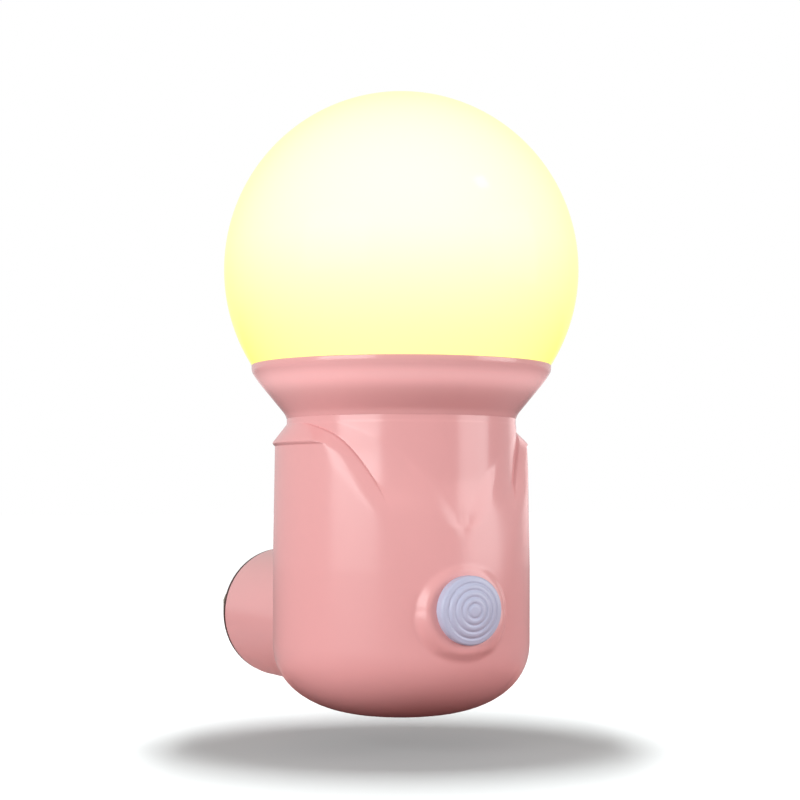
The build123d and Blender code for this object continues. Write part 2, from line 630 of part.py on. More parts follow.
def button_spring():
    """The coil that returns the button, between the switch's face and the roof of the cap's pocket."""
    near = BUTTON_POCKET_DEPTH - SPRING_END_GAP - SPRING_WIRE_RADIUS
    far = SWITCH_FRONT_DEPTH + SPRING_END_GAP + SPRING_WIRE_RADIUS
    length = near - far
    path = Helix(length / SPRING_TURNS, length, SPRING_MEAN_RADIUS)
    section = Plane(origin=path @ 0, z_dir=path % 0) * Circle(SPRING_WIRE_RADIUS)
    coil = sweep(section, path, is_frenet=True)
    return Pos(0, in_front(far), BUTTON_Z) * Rot(90, 0, 0) * coil


def driver_board():
    """The upright driver board, held by its edges in the cup's rails."""
    low = (-BOARD_WIDTH / 2, BOARD_FRONT_Y, BOARD_BOTTOM_Z)
    high = (BOARD_WIDTH / 2, BOARD_REAR_Y, BOARD_BOTTOM_Z + BOARD_HEIGHT)
    return block(low, high)


def film_capacitor():
    """The mains dropper capacitor on the back of the board."""
    width, depth, height = FILM_CAPACITOR
    case = Pos(-PART_COLUMN_X, BOARD_REAR_Y + depth / 2, FILM_CAPACITOR_Z) * Box(width, depth, height)
    return fillet(case.edges().filter_by(Axis.Y), depth / 6)


def electrolytic_capacitor():
    """The smoothing capacitor, standing out from the back of the board, with its rolled groove."""
    can = level_rod(
        ELECTROLYTIC_RADIUS, BOARD_REAR_Y, BOARD_REAR_Y + ELECTROLYTIC_LENGTH, PART_COLUMN_X, ELECTROLYTIC_Z
    )
    groove_y = BOARD_REAR_Y + ELECTROLYTIC_RADIUS / 2
    groove = Rot(90, 0, 0) * Torus(ELECTROLYTIC_RADIUS + GROOVE_ROUND / 2, GROOVE_ROUND)
    return can - Pos(PART_COLUMN_X, groove_y, ELECTROLYTIC_Z) * groove


def leaded_block(size, x, z):
    """A small moulded package on the front of the board, with four legs along each side."""
    width, depth, height = size
    leg_width, leg_depth, leg_reach = CHIP_LEG
    package = Pos(x, BOARD_FRONT_Y - depth / 2, z) * Box(width, depth, height)
    for index in range(4):
        leg_x = x + (index - 1.5) * CHIP_LEG_PITCH
        for side in (-1, 1):
            leg_z = z + side * (height + leg_reach) / 2
            package += Pos(leg_x, BOARD_FRONT_Y - leg_depth / 2, leg_z) * Box(leg_width, leg_depth, leg_reach)
    return package


def leaded_tube(radius, length, x):
    """An upright resistor behind the board, on two bent legs."""
    y = BOARD_REAR_Y + radius + LEG_CLEARANCE
    resistor = Pos(x, y, RESISTOR_Z) * Cylinder(radius, length)
    for side in (-1, 1):
        tip_z = RESISTOR_Z + side * (length / 2 + LEG_REACH)
        low, high = sorted((RESISTOR_Z, tip_z))
        resistor += Pos(x, y, (low + high) / 2) * Cylinder(LEG_RADIUS, high - low)
        resistor += level_rod(LEG_RADIUS, BOARD_REAR_Y, y + LEG_RADIUS, x, tip_z)
    return resistor


def bleed_resistors():
    """Two small resistors side by side."""
    return [leaded_tube(BLEED_RADIUS, BLEED_LENGTH, side * BLEED_PITCH / 2 - PART_COLUMN_X) for side in (-1, 1)]


def plug_boss():
    """The round boss between the body and the plug, with a saddle end that fits the cup."""
    root_start = AXIS_Y + BODY_RADIUS / 2
    outer = level_rod(BOSS_RADIUS, root_start, BOSS_END_Y)
    outer = fillet(outer.edges().filter_by(GeomType.CIRCLE).sort_by(Axis.Y)[-1], BOSS_END_ROUND)
    boss = outer - cup_solid()
    boss -= level_rod(BOSS_INNER_RADIUS, BOSS_ROOT_Y, PLATE_BACK_Y)
    boss -= level_rod(BOSS_BORE_RADIUS, PLATE_BACK_Y, BOSS_END_Y)
    pilot_end = PLATE_BACK_Y - SMALL_SCREW_LENGTH - PILOT_CLEARANCE
    for z in (-PLATE_SCREW_OFFSET, PLATE_SCREW_OFFSET):
        pillar = level_rod(PLATE_PILLAR_RADIUS, BOSS_ROOT_Y, PLATE_BACK_Y, z=z)
        boss += pillar & level_rod(BOSS_BORE_RADIUS, BOSS_ROOT_Y, PLATE_BACK_Y)
        boss -= level_rod(SMALL_SCREW_RADIUS + PILOT_CLEARANCE, pilot_end, PLATE_BACK_Y, z=z)
    boss -= level_rod(BOSS_WIRE_HOLE_RADIUS, AXIS_Y, BOSS_ROOT_Y + 1)
    for x in (-BOSS_SCREW_OFFSET, BOSS_SCREW_OFFSET):
        boss -= level_rod(BOSS_SCREW_RADIUS + SCREW_CLEARANCE, AXIS_Y, BOSS_ROOT_Y + 1, x=x)
    return boss


def boss_screws():
    """Two screws from inside the boss through its root into the cup's rear wall."""
    length = BOSS_ROOT_DEPTH - math.sqrt(CAVITY_RADIUS**2 - BOSS_SCREW_OFFSET**2)
    xs = (-BOSS_SCREW_OFFSET, BOSS_SCREW_OFFSET)
    return [level_screw(BOSS_SCREW_RADIUS, length, x, 0, BOSS_ROOT_Y) for x in xs]


def blade(side):
    """One flat blade: it stands out of the wall face and ends flush with the disc's back."""
    x = side * BLADE_PITCH / 2
    half_width = BLADE_WIDTH / 2
    half = BLADE_THICKNESS / 2
    bar = block((x - half, -DISC_THICKNESS, -half_width), (x + half, BLADE_LENGTH, half_width))
    tip_edges = bar.edges().filter_by(Axis.X).sort_by(Axis.Y)[-2:]
    bar = chamfer(tip_edges, BLADE_TIP_CHAMFER)
    hole = Pos(x, BLADE_LENGTH - BLADE_HOLE_SETBACK, 0) * Rot(0, 90, 0)
    return bar - hole * Cylinder(BLADE_HOLE_RADIUS, 2 * BLADE_THICKNESS)


def stop_groove():
    """The half-round groove in the disc's back whose ends stop the lamp at a quarter turn each way."""
    half = STOP_PIN_RADIUS + STOP_GROOVE_CLEARANCE
    low_y = -DISC_THICKNESS - 1
    high_y = -DISC_THICKNESS + STOP_GROOVE_DEPTH
    ring = level_rod(STOP_PIN_OFFSET + half, low_y, high_y) - level_rod(STOP_PIN_OFFSET - half, low_y, high_y)
    reach = 2 * STOP_PIN_OFFSET
    groove = ring & block((-reach, low_y, 0), (reach, high_y, reach))
    for x in (-STOP_PIN_OFFSET, STOP_PIN_OFFSET):
        groove += level_rod(half, low_y, high_y, x=x)
    return groove


def plug_disc():
    """The turning plug's moulding: a lip over the boss's end, a disc in its bore and a hooked stem."""
    disc = level_rod(DISC_LIP_RADIUS, -DISC_LIP_THICKNESS, 0)
    disc += level_rod(BOSS_BORE_RADIUS - DISC_CLEARANCE, -DISC_THICKNESS, -DISC_LIP_THICKNESS)
    hook_y = PLATE_BACK_Y - HOOK_GAP
    stem_end = hook_y - HOOK_LENGTH
    disc -= stop_groove()
    disc += level_rod(STEM_RADIUS, stem_end, -DISC_THICKNESS)
    hook = Pos(0, (hook_y + stem_end) / 2, 0) * Rot(90, 0, 0)
    disc += hook * Cone(STEM_RADIUS + HOOK_OVERHANG, STEM_RADIUS - HOOK_OVERHANG, HOOK_LENGTH)
    slit_end = PLATE_FRONT_Y
    half = HOOK_SLIT / 2
    reach = 2 * STEM_RADIUS
    disc -= block((-half, stem_end - 1, -reach), (half, slit_end, reach))
    disc -= block((-reach, stem_end - 1, -half), (reach, slit_end, half))
    return disc - blade(-1) - blade(1)


def track_arc(radius, centre_angle):
    """A flat contact track behind the disc, long enough for a quarter turn each way."""
    half_width = TRACK_WIDTH / 2
    ring = level_rod(radius + half_width, TRACK_FACE_Y, -DISC_THICKNESS)
    ring -= level_rod(radius - half_width, TRACK_FACE_Y - 1, -DISC_THICKNESS + 1)
    spread = SWIVEL_ANGLE + TRACK_ARC_MARGIN
    rays = []
    for share in (-1, -0.5, 0, 0.5, 1):
        angle = math.radians(centre_angle + spread * share)
        reach = 3 * radius
        rays.append((reach * math.cos(angle), 0, reach * math.sin(angle)))
    fan = make_face(Polyline((0, 0, 0), *rays, close=True))
    wedge = extrude(fan, amount=2 * DISC_THICKNESS, dir=(0, -1, 0))
    return ring & wedge


def live_track():
    """The inner track, under the right-hand blade."""
    return track_arc(INNER_TRACK_RADIUS, 0)


def neutral_track():
    """The outer track, with a tab in to the left-hand blade."""
    half_width = TRACK_WIDTH / 2
    tab = block(
        (-OUTER_TRACK_RADIUS, TRACK_FACE_Y, -half_width),
        (-BLADE_PITCH / 2 + BLADE_THICKNESS / 2, -DISC_THICKNESS, half_width),
    )
    return track_arc(OUTER_TRACK_RADIUS, 180) + tab


def finger_slot(x, clearance):
    """The bar of a finger's tail through the plate, grown by a clearance."""
    half_width = FINGER_WIDTH / 2 + clearance
    half = FINGER_THICKNESS / 2 + clearance
    low = (x - half_width, PLATE_BACK_Y - FINGER_TAIL, -FINGER_REACH - half)
    high = (x + half_width, PLATE_FRONT_Y + FINGER_THICKNESS, -FINGER_REACH + half)
    return block(low, high)


def contact_finger(x):
    """A leaf spring: a tail through the plate, a flat foot, a sprung slope, a contact point and a curl."""
    half = FINGER_THICKNESS / 2
    foot_y = PLATE_FRONT_Y + half
    tip_y = TRACK_FACE_Y - FINGER_GAP - half
    line = Polyline(
        (foot_y, -FINGER_REACH),
        (foot_y, -FINGER_REACH + FINGER_FLAT),
        (tip_y, 0),
        (tip_y - FINGER_CURL / 2, FINGER_CURL),
    )
    leaf = Plane.YZ * trace(line, FINGER_THICKNESS)
    strip = Pos(x - FINGER_WIDTH / 2, 0, 0) * extrude(leaf, amount=FINGER_WIDTH)
    return strip + finger_slot(x, 0)


def brush_plate():
    """The fixed plate inside the boss that carries the fingers, the stem's bearing and the stop pin."""
    plate = level_rod(BOSS_BORE_RADIUS - PLATE_CLEARANCE, PLATE_BACK_Y, PLATE_FRONT_Y)
    plate -= level_rod(STEM_RADIUS + STEM_CLEARANCE, PLATE_BACK_Y - 1, PLATE_FRONT_Y + 1)
    for x in (INNER_TRACK_RADIUS, -OUTER_TRACK_RADIUS):
        plate -= finger_slot(x, PLATE_CLEARANCE)
    for z in (-PLATE_SCREW_OFFSET, PLATE_SCREW_OFFSET):
        plate -= level_rod(SMALL_SCREW_RADIUS + SCREW_CLEARANCE, PLATE_BACK_Y - 1, PLATE_FRONT_Y + 1, z=z)
    pin_end = -DISC_THICKNESS + STOP_GROOVE_DEPTH - STOP_GROOVE_CLEARANCE
    return plate + level_rod(STOP_PIN_RADIUS, PLATE_FRONT_Y, pin_end, z=STOP_PIN_OFFSET)


def plate_screws():
    """Two small screws that hold the plate to the boss's pillars."""
    length = SMALL_SCREW_LENGTH + PLATE_THICKNESS
    zs = (-PLATE_SCREW_OFFSET, PLATE_SCREW_OFFSET)
    return [level_screw(SMALL_SCREW_RADIUS, length, 0, z, PLATE_FRONT_Y) for z in zs]


def wire(points):
    """A round insulated wire through points, with rounded corners."""
    path = FilletPolyline(*points, radius=WIRE_BEND_RADIUS)
    section = Plane(origin=path @ 0, z_dir=path % 0) * Circle(WIRE_RADIUS)
    return sweep(section, path)


def mains_leads():
    """Two wires from the fingers' tails through the boss's root to the back of the driver board."""
    tail_y = PLATE_BACK_Y - FINGER_TAIL
    leads = []
    for side, start_x in ((1, INNER_TRACK_RADIUS), (-1, -OUTER_TRACK_RADIUS)):
        points = (
            (start_x, tail_y, -FINGER_REACH),
            (start_x, tail_y - 2 * WIRE_BEND_RADIUS, -FINGER_REACH),
            (side * WIRE_PAIR_HALF, BOSS_ROOT_Y + WIRE_BEND_RADIUS, 0),
            (side * WIRE_PAIR_HALF, AXIS_Y + CAVITY_RADIUS - 2 * WIRE_BEND_RADIUS, 0),
            (side * MAINS_PAD_X, BOARD_REAR_Y + 2 * WIRE_BEND_RADIUS, MAINS_PAD_Z),
            (side * MAINS_PAD_X, BOARD_REAR_Y, MAINS_PAD_Z),
        )
        leads.append(wire(points))
    return leads


def led_leads():
    """Two wires from the top of the driver board up to the underside of the light board."""
    leads = []
    for side in (-1, 1):
        x = side * WIRE_PAIR_HALF
        points = (
            (x, BOARD_REAR_Y, LED_PAD_Z),
            (x, AXIS_Y, LED_PAD_Z),
            (x, AXIS_Y, COLLAR_FLOOR_TOP_Z),
        )
        leads.append(wire(points))
    return leads


def write_parts():
    """Write every sub-part as its own STEP file."""
    os.makedirs("parts", exist_ok=True)
    parts = {
        "body_shell": body_shell(),
        "collar_ring": collar_ring(),
        "globe_diffuser": globe_diffuser(),
        "led_board": led_board(),
        "led_chips": led_chips(),
        "led_board_screws": led_board_screws(),
        "collar_screws": collar_screws(),
        "button_cap": button_cap(),
        "button_spring": button_spring(),
        "push_switch": push_switch(),
        "switch_plunger": switch_plunger(),
        "driver_board": driver_board(),
        "film_capacitor": film_capacitor(),
        "electrolytic_capacitor": electrolytic_capacitor(),
        "bridge_rectifier": leaded_block(BRIDGE, -PART_COLUMN_X, CHIP_ROW_Z),
        "controller_chip": leaded_block(CHIP, PART_COLUMN_X, CHIP_ROW_Z),
        "fuse_resistor": leaded_tube(FUSE_RADIUS, FUSE_LENGTH, PART_COLUMN_X),
        "bleed_resistors": bleed_resistors(),
        "plug_boss": plug_boss(),
        "boss_screws": boss_screws(),
        "plug_disc": plug_disc(),
        "live_blade": blade(1),
        "neutral_blade": blade(-1),
        "live_track": live_track(),
        "neutral_track": neutral_track(),
        "brush_plate": brush_plate(),
        "plate_screws": plate_screws(),
        "live_finger": contact_finger(INNER_TRACK_RADIUS),
        "neutral_finger": contact_finger(-OUTER_TRACK_RADIUS),
        "mains_leads": mains_leads(),
        "led_leads": led_leads(),
    }
    for name, shape in parts.items():
        if isinstance(shape, list):
            shape = Compound(children=shape)
        export_step(shape, f"parts/{name}.step")


write_parts()
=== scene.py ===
import math

import bpy
import numpy as np
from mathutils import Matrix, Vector


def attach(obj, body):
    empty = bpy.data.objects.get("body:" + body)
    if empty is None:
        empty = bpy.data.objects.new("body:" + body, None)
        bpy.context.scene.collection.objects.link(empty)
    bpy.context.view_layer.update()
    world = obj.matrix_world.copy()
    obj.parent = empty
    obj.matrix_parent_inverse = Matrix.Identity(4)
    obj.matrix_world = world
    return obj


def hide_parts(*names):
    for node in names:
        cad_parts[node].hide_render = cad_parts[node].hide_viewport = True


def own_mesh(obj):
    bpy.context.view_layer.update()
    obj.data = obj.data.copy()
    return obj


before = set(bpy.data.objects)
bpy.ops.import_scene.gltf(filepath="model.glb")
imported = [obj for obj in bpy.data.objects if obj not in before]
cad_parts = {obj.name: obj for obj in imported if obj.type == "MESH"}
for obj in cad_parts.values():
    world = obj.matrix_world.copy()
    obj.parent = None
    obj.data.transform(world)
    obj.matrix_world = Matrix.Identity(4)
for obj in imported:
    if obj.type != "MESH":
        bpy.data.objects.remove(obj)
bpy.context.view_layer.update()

# The camera
# Level, a third of a metre from the lamp's upright axis and a little to the left of the lamp's front. The
# lens is shifted up, so that the lamp's upright lines stay upright.

LAMP_AXIS_Y = -0.0552

camera_azimuth = math.radians(-28.34)
camera_distance = 0.323
camera_height = 0.026
camera_data = bpy.data.cameras.new("camera")
camera_data.sensor_width = 36
camera_data.lens = 76.5
camera_data.shift_x = -0.0016
camera_data.shift_y = 0.1148
camera_data.clip_start = 0.01
camera_data.clip_end = 20
camera = bpy.data.objects.new("camera", camera_data)
camera.location = (
    camera_distance * math.sin(camera_azimuth),
    LAMP_AXIS_Y - camera_distance * math.cos(camera_azimuth),
    camera_height,
)
camera.rotation_euler = (math.pi / 2, 0, camera_azimuth)
bpy.context.scene.collection.objects.link(camera)
bpy.context.scene.camera = camera

# The cup-shaped body
# A glossy pink moulding, wrapped like a coat at its top: a hem round the back and sides, and two lapels that
# sweep down to the front with a soft vee between them. A raised pad carries the push button.

MM = 0.001
LAMP_AXIS = np.array([0, LAMP_AXIS_Y / MM, 0])


def smooth_step(share):
    """3 s^2 - 2 s^3, with s held between 0 and 1: an S-shaped rise from 0 to 1."""
    share = np.clip(share, 0, 1)
    return share * share * (3 - 2 * share)


def soft_max(a, b, width):
    """The larger of a and b with a rounded corner: half of a + b + root((a - b)^2 + width^2)."""
    return 0.5 * (a + b + np.sqrt((a - b) ** 2 + width**2))


def soft_min(a, b, width):
    """The smaller of a and b, less width/4 (1 - |a - b|/width)^2 where they are nearer than the width."""
    near = np.clip(1 - np.abs(a - b) / width, 0, None)
    return np.minimum(a, b) - width / 4 * near**2


def rounded_outline(corners, radii, steps):
    """A line through corners, each replaced by a quadratic curve that starts and ends a radius from it.

    A point of the curve is (1-t)^2 start + 2t(1-t) corner + t^2 end.
    """
    corners = np.array(corners, float)
    share = np.linspace(0, 1, steps)[:, None]
    rows = [corners[:1]]
    for before, corner, after, radius in zip(corners, corners[1:], corners[2:], radii):
        start = corner + (before - corner) * min(0.5, radius / np.linalg.norm(before - corner))
        end = corner + (after - corner) * min(0.5, radius / np.linalg.norm(after - corner))
        rows.append((1 - share) ** 2 * start + 2 * share * (1 - share) * corner + share**2 * end)
    rows.append(corners[-1:])
    return np.concatenate(rows)


def divided(line, step):
    """The same line with each run longer than a step divided into equal parts."""
    counts = np.maximum(1, np.ceil(np.linalg.norm(np.diff(line, axis=0), axis=1) / step)).astype(int)
    starts = np.repeat(np.arange(len(counts)), counts)
    places = np.concatenate([np.arange(count) / count for count in counts])
    points = line[starts] + (line[starts + 1] - line[starts]) * places[:, None]
    return np.concatenate([points, line[-1:]])


def mesh_object(name, points, faces, sharp_degrees=40):
    """A smooth-shaded object from points in millimetres, its edges sharp where faces meet at an angle."""
    mesh = bpy.data.meshes.new(name)
    mesh.from_pydata((points * MM).tolist(), [], faces)
    mesh.shade_smooth()
    mesh.set_sharp_from_angle(angle=math.radians(sharp_degrees))
    mesh.update()
    made = bpy.data.objects.new(name, mesh)
    bpy.context.scene.collection.objects.link(made)
    return made


def closed_grid_faces(rows, columns):
    """Faces of a grid that closes round its columns, between one pole point before it and one after it.

    Point 0 is the first pole, points 1 to rows times columns are the grid row by row, and the last point is
    the other pole.
    """
    column = np.arange(columns)
    following = (column + 1) % columns
    row = np.arange(rows - 1)[:, None] * columns + 1
    above = row + columns
    quads = np.stack([row + column, row + following, above + following, above + column], axis=-1)
    first = np.stack([np.zeros(columns, int), 1 + following, 1 + column], axis=-1)
    start = 1 + (rows - 1) * columns
    end = np.full(columns, rows * columns + 1)
    last = np.stack([start + column, start + following, end], axis=-1)
    return first.tolist() + quads.reshape(-1, 4).tolist() + last.tolist()


def turned_rings(outline, axis, columns):
    """Each (radius, place) pair of an outline turned into a ring about Z or Y.

    A point is (radius cos a, radius sin a, place) about Z, and (radius cos a, place, radius sin a) about Y.
    """
    turn = np.linspace(0, 2 * np.pi, columns, endpoint=False)
    radius = outline[:, 0:1]
    place = np.broadcast_to(outline[:, 1:2], (len(outline), columns))
    if axis == "Z":
        parts = [radius * np.cos(turn), radius * np.sin(turn), place]
    else:
        parts = [radius * np.cos(turn), place, radius * np.sin(turn)]
    return np.stack(parts, axis=-1).reshape(-1, 3)


def turned_piece(name, outline, axis, columns, sharp_degrees=40, centre=(0, 0, 0)):
    """A solid turned about Z or Y, from an outline that starts and ends on the axis."""
    poles = np.zeros((2, 3))
    poles[:, 2 if axis == "Z" else 1] = outline[[0, -1], 1]
    rings = turned_rings(outline[1:-1], axis, columns)
    faces = closed_grid_faces(len(outline) - 2, columns)
    if axis == "Y":
        faces = [face[::-1] for face in faces]
    points = np.concatenate([poles[:1], rings, poles[1:]]) + np.array(centre)
    return mesh_object(name, points, faces, sharp_degrees)


BODY_BOTTOM_Z = -16.0
BODY_RADIUS = 24.35
BOWL_FLAT_RADIUS = 3.4
BOWL_HEIGHT = 14.1
TAPER_START_Z = 12.0
SHOULDER_RADIUS = 23.95
HEM_RADIUS = 24.5
HEM_Z = 35.3
HEM_HEIGHT = 0.7
HEM_LIP_DROP = 0.15
HEM_FOOT_RUN = 0.2
HEM_ROUNDINGS = (0.12, 0.35, 0.25)
SIDE_TOP_Z = HEM_Z - HEM_HEIGHT - HEM_FOOT_RUN
SHOULDER_TOP_Z = 38.7
NECK_RADIUS = 21.75
NECK_TOP_Z = 39.8
SHOULDER_SLOPE = (HEM_RADIUS - NECK_RADIUS) / (SHOULDER_TOP_Z - HEM_Z)
CAVITY_RADIUS = 19.95
CAVITY_FLOOR_Z = -13.8
CAVITY_FLAT_RADIUS = 2.0
CAVITY_BEND_HEIGHT = 11.0

PANEL_FADE_Z = 13.0
PANEL_TOP_Z = 34.0
LAPEL_FOOT_Z = 5.0
LAPEL_MELT_HEIGHT = 13.0
LAPEL_HEIGHT = SHOULDER_TOP_Z - LAPEL_FOOT_Z
CRISP_FROM_Z = 22.0
CRISP_RISE = 6.0
SOFTEST_FOOT = 3.5
STEP_WIDTH = 0.25
STEP_HEIGHT = 0.35
STEP_TOP_FADE = 0.4
LIP_WIDTH = 0.2
LIP_WIDENING = 1.8
LIP_WIDEN_FROM_Z = 35.2
LIP_WIDEN_HEIGHT = 5.0
LIP_FARTHEST_ANGLE = math.radians(165)
LIP_LEAST_ANGLE = 0.05
VEE_BOTTOM_Z = 19.7
VEE_DEPTH = 0.5
VEE_EDGE_WIDTH = 5.0

BUTTON_Z = 5.0
PAD_DEPTH = 24.6
PAD_RADIUS = 7.3
PAD_FOOT_SWELL = 0.9
PAD_EDGE_WIDTH = 0.7
PAD_JOIN_WIDTH = 0.6
PAD_LOWEST_Z = -8.0
PAD_HIGHEST_Z = 18.0
PAD_WIDEST_ANGLE = 0.9

BOWL_ROWS = 90
SIDE_ROW_STEP = 0.34
HEM_ROW_STEP = 0.2
CAVITY_ROW_STEP = 4.0
CAVITY_BEND_ROWS = 16
COLUMNS_TO_LIP = (64, 3, 14)
COLUMNS_TO_BACK = 66


def bowl_bend(radius, floor_z, flat_radius, height, steps):
    """The corner of a bowl: a superellipse of power 2.3, from its flat bottom to its straight side."""
    angle = np.linspace(0, np.pi / 2, steps)
    across = flat_radius + (radius - flat_radius) * np.sin(angle) ** (2 / 2.3)
    up = floor_z + height - height * np.cos(angle) ** (2 / 2.3)
    return np.stack([across, up], axis=-1)


def side_radius(z):
    """The side's radius: even up to the taper's start, then a slight straight taper up to the hem."""
    taper = np.clip((z - TAPER_START_Z) / (HEM_Z - TAPER_START_Z), 0, 1)
    return BODY_RADIUS + (SHOULDER_RADIUS - BODY_RADIUS) * taper


def panel_radius(z):
    """The front panel: the side's radius low down, easing in to the neck's by an S-curve higher up."""
    full = side_radius(z)
    return full - (full - NECK_RADIUS) * smooth_step((z - PANEL_FADE_Z) / (PANEL_TOP_Z - PANEL_FADE_Z))


def lapel_edge(z):
    """The angle from the front to a lapel's edge: 25 + 40 u^2.5 + 18 u^25 degrees, u the height share."""
    share = np.clip((z - LAPEL_FOOT_Z) / LAPEL_HEIGHT, 0, 1)
    return np.radians(25 + 40 * share**2.5 + 18 * share**25)


def lapel_stretch(z):
    """How much longer a step round the cup is than the same step square to the lapel's edge.

    It is root(1 + (radius times the edge's lean)^2), and the lean is the slope of the edge's angle.
    """
    share = np.clip((z - LAPEL_FOOT_Z) / LAPEL_HEIGHT, 0, 1)
    lean = np.radians(100 * share**1.5 + 450 * share**24) / LAPEL_HEIGHT
    return np.hypot(1, BODY_RADIUS * lean)


def vee_depth(angle, z):
    """1 inside the vee, falling to 0 across its soft edge; the edge is at 24 root(u) + 34 u^5 degrees."""
    share = np.clip((z - VEE_BOTTOM_Z) / (SHOULDER_TOP_Z - VEE_BOTTOM_Z), 0, 1)
    edge = np.radians(24 * np.sqrt(share) + 34 * share**5)
    beside = BODY_RADIUS * (edge - np.abs(angle))
    above = z - VEE_BOTTOM_Z
    inside = np.where(above > 0, np.minimum(beside, above), -np.hypot(np.minimum(0, beside), above))
    return smooth_step(0.5 + inside / VEE_EDGE_WIDTH)


def cup_front(angle, z):
    """The shaped front's radius: the panel, lower in the vee, then a small step and the lapel's slope.

    The slope rises with the distance outside the lapel's edge, measured square to it. The step and the
    slope's foot are crisp above 28 mm and have melted into the panel at 22 mm.
    """
    panel = panel_radius(z)
    core = soft_max(panel - VEE_DEPTH * vee_depth(angle, z), NECK_RADIUS - 0.02, 0.1)
    outside = BODY_RADIUS * (np.abs(angle) - lapel_edge(z)) / lapel_stretch(z)
    below_top = SHOULDER_TOP_Z - z
    crisp = smooth_step((z - CRISP_FROM_Z) / CRISP_RISE)
    slope = SHOULDER_SLOPE * soft_max(np.minimum(outside, below_top), 0, 0.02 + SOFTEST_FOOT * (1 - crisp))
    step = STEP_HEIGHT * crisp * smooth_step(outside / STEP_WIDTH) * smooth_step(below_top / STEP_TOP_FADE)
    return core + slope + step


def button_pad(angle, radius, z):
    """The radius at which a level line from the axis meets the pad: a flat round face with a sloping edge.

    Past the face's radius it falls by a slope and a square of the distance. Towards the pad's foot, where
    the cup starts to bend away, the face stands further out and its edge slopes more gently.
    """
    across = radius * np.sin(angle)
    below = np.clip((BUTTON_Z - z) / PAD_RADIUS, 0, 1)
    away = np.hypot(across, z - BUTTON_Z)
    face = PAD_DEPTH + PAD_FOOT_SWELL * below
    edge = soft_max(away - PAD_RADIUS, 0, PAD_EDGE_WIDTH)
    out = face - (0.8 - 0.4 * below) * edge - 0.18 * edge**2
    return out / np.maximum(np.cos(angle), 0.2)


side_line = np.array(
    [
        (BODY_RADIUS, BODY_BOTTOM_Z + BOWL_HEIGHT),
        (BODY_RADIUS, TAPER_START_Z),
        (SHOULDER_RADIUS, SIDE_TOP_Z),
    ]
)
hem_line = rounded_outline(
    [
        (SHOULDER_RADIUS, SIDE_TOP_Z),
        (SHOULDER_RADIUS, HEM_Z - HEM_HEIGHT),
        (HEM_RADIUS, HEM_Z - HEM_LIP_DROP),
        (NECK_RADIUS, SHOULDER_TOP_Z),
        (NECK_RADIUS, NECK_TOP_Z),
    ],
    HEM_ROUNDINGS,
    5,
)
cavity_line = np.array(
    [(CAVITY_RADIUS, NECK_TOP_Z), (CAVITY_RADIUS, CAVITY_FLOOR_Z + CAVITY_BEND_HEIGHT)]
)
cavity_bend = bowl_bend(
    CAVITY_RADIUS, CAVITY_FLOOR_Z, CAVITY_FLAT_RADIUS, CAVITY_BEND_HEIGHT, CAVITY_BEND_ROWS
)
body_profile = np.concatenate(
    [
        [(0.0, BODY_BOTTOM_Z), (1.2, BODY_BOTTOM_Z), (2.4, BODY_BOTTOM_Z)],
        bowl_bend(BODY_RADIUS, BODY_BOTTOM_Z, BOWL_FLAT_RADIUS, BOWL_HEIGHT, BOWL_ROWS),
        divided(side_line, SIDE_ROW_STEP)[1:-1],
        divided(hem_line, HEM_ROW_STEP),
        cavity_line[:1],
        divided(cavity_line, CAVITY_ROW_STEP)[1:-1],
        cavity_bend[::-1],
        [(0.0, CAVITY_FLOOR_Z)],
    ]
)
outer_rows = int(np.argmax(body_profile[:, 0] == CAVITY_RADIUS))


def cup_points(profile, outer_count):
    """The cup's grid: every row has points at each lapel's inner edge, at the step's top and at the lip.

    Going round, the angle is a straight-line share between the front, those three and the back, and the
    radius on the outer rows is the smaller of the turned profile and the shaped front, or the pad where that
    stands out.
    """
    radius, z = profile[:, 0], profile[:, 1]
    edge = lapel_edge(z)
    step = edge + STEP_WIDTH * lapel_stretch(z) / BODY_RADIUS
    climb = np.clip(radius - panel_radius(z) - STEP_HEIGHT, 0, None) / SHOULDER_SLOPE
    lip = step + np.clip(climb * lapel_stretch(z) / BODY_RADIUS, LIP_LEAST_ANGLE, None)
    stops = [np.zeros_like(z), edge, step, np.minimum(lip, LIP_FARTHEST_ANGLE), np.full_like(z, np.pi)]
    shares = [np.linspace(0, 1, count, endpoint=False) for count in COLUMNS_TO_LIP]
    shares.append(np.linspace(0, 1, COLUMNS_TO_BACK))
    runs = [
        low[:, None] + (high - low)[:, None] * share
        for low, high, share in zip(stops, stops[1:], shares)
    ]
    right = np.concatenate(runs, axis=1)
    angle = np.concatenate([right, -right[:, -2:0:-1]], axis=1)
    reach = np.broadcast_to(radius[:, None], angle.shape).copy()
    heights = np.broadcast_to(z[:, None], angle.shape)
    outer = np.arange(len(z)) < outer_count
    shaped = outer & (z > LAPEL_FOOT_Z)
    widening = smooth_step((LIP_WIDEN_FROM_Z - heights[shaped]) / LIP_WIDEN_HEIGHT)
    front = cup_front(angle[shaped], heights[shaped])
    lower = soft_min(reach[shaped], front, LIP_WIDTH + LIP_WIDENING * widening)
    melt = smooth_step((heights[shaped] - LAPEL_FOOT_Z) / LAPEL_MELT_HEIGHT)
    reach[shaped] -= np.clip(reach[shaped] - lower, 0, None) * melt
    near = outer & (z > PAD_LOWEST_Z) & (z < PAD_HIGHEST_Z)
    pad = button_pad(angle[near], reach[near], heights[near])
    facing = np.abs(angle[near]) < PAD_WIDEST_ANGLE
    reach[near] = np.where(facing, -soft_min(-reach[near], -pad, PAD_JOIN_WIDTH), reach[near])
    return np.stack([reach * np.sin(angle), -reach * np.cos(angle), heights], axis=-1)


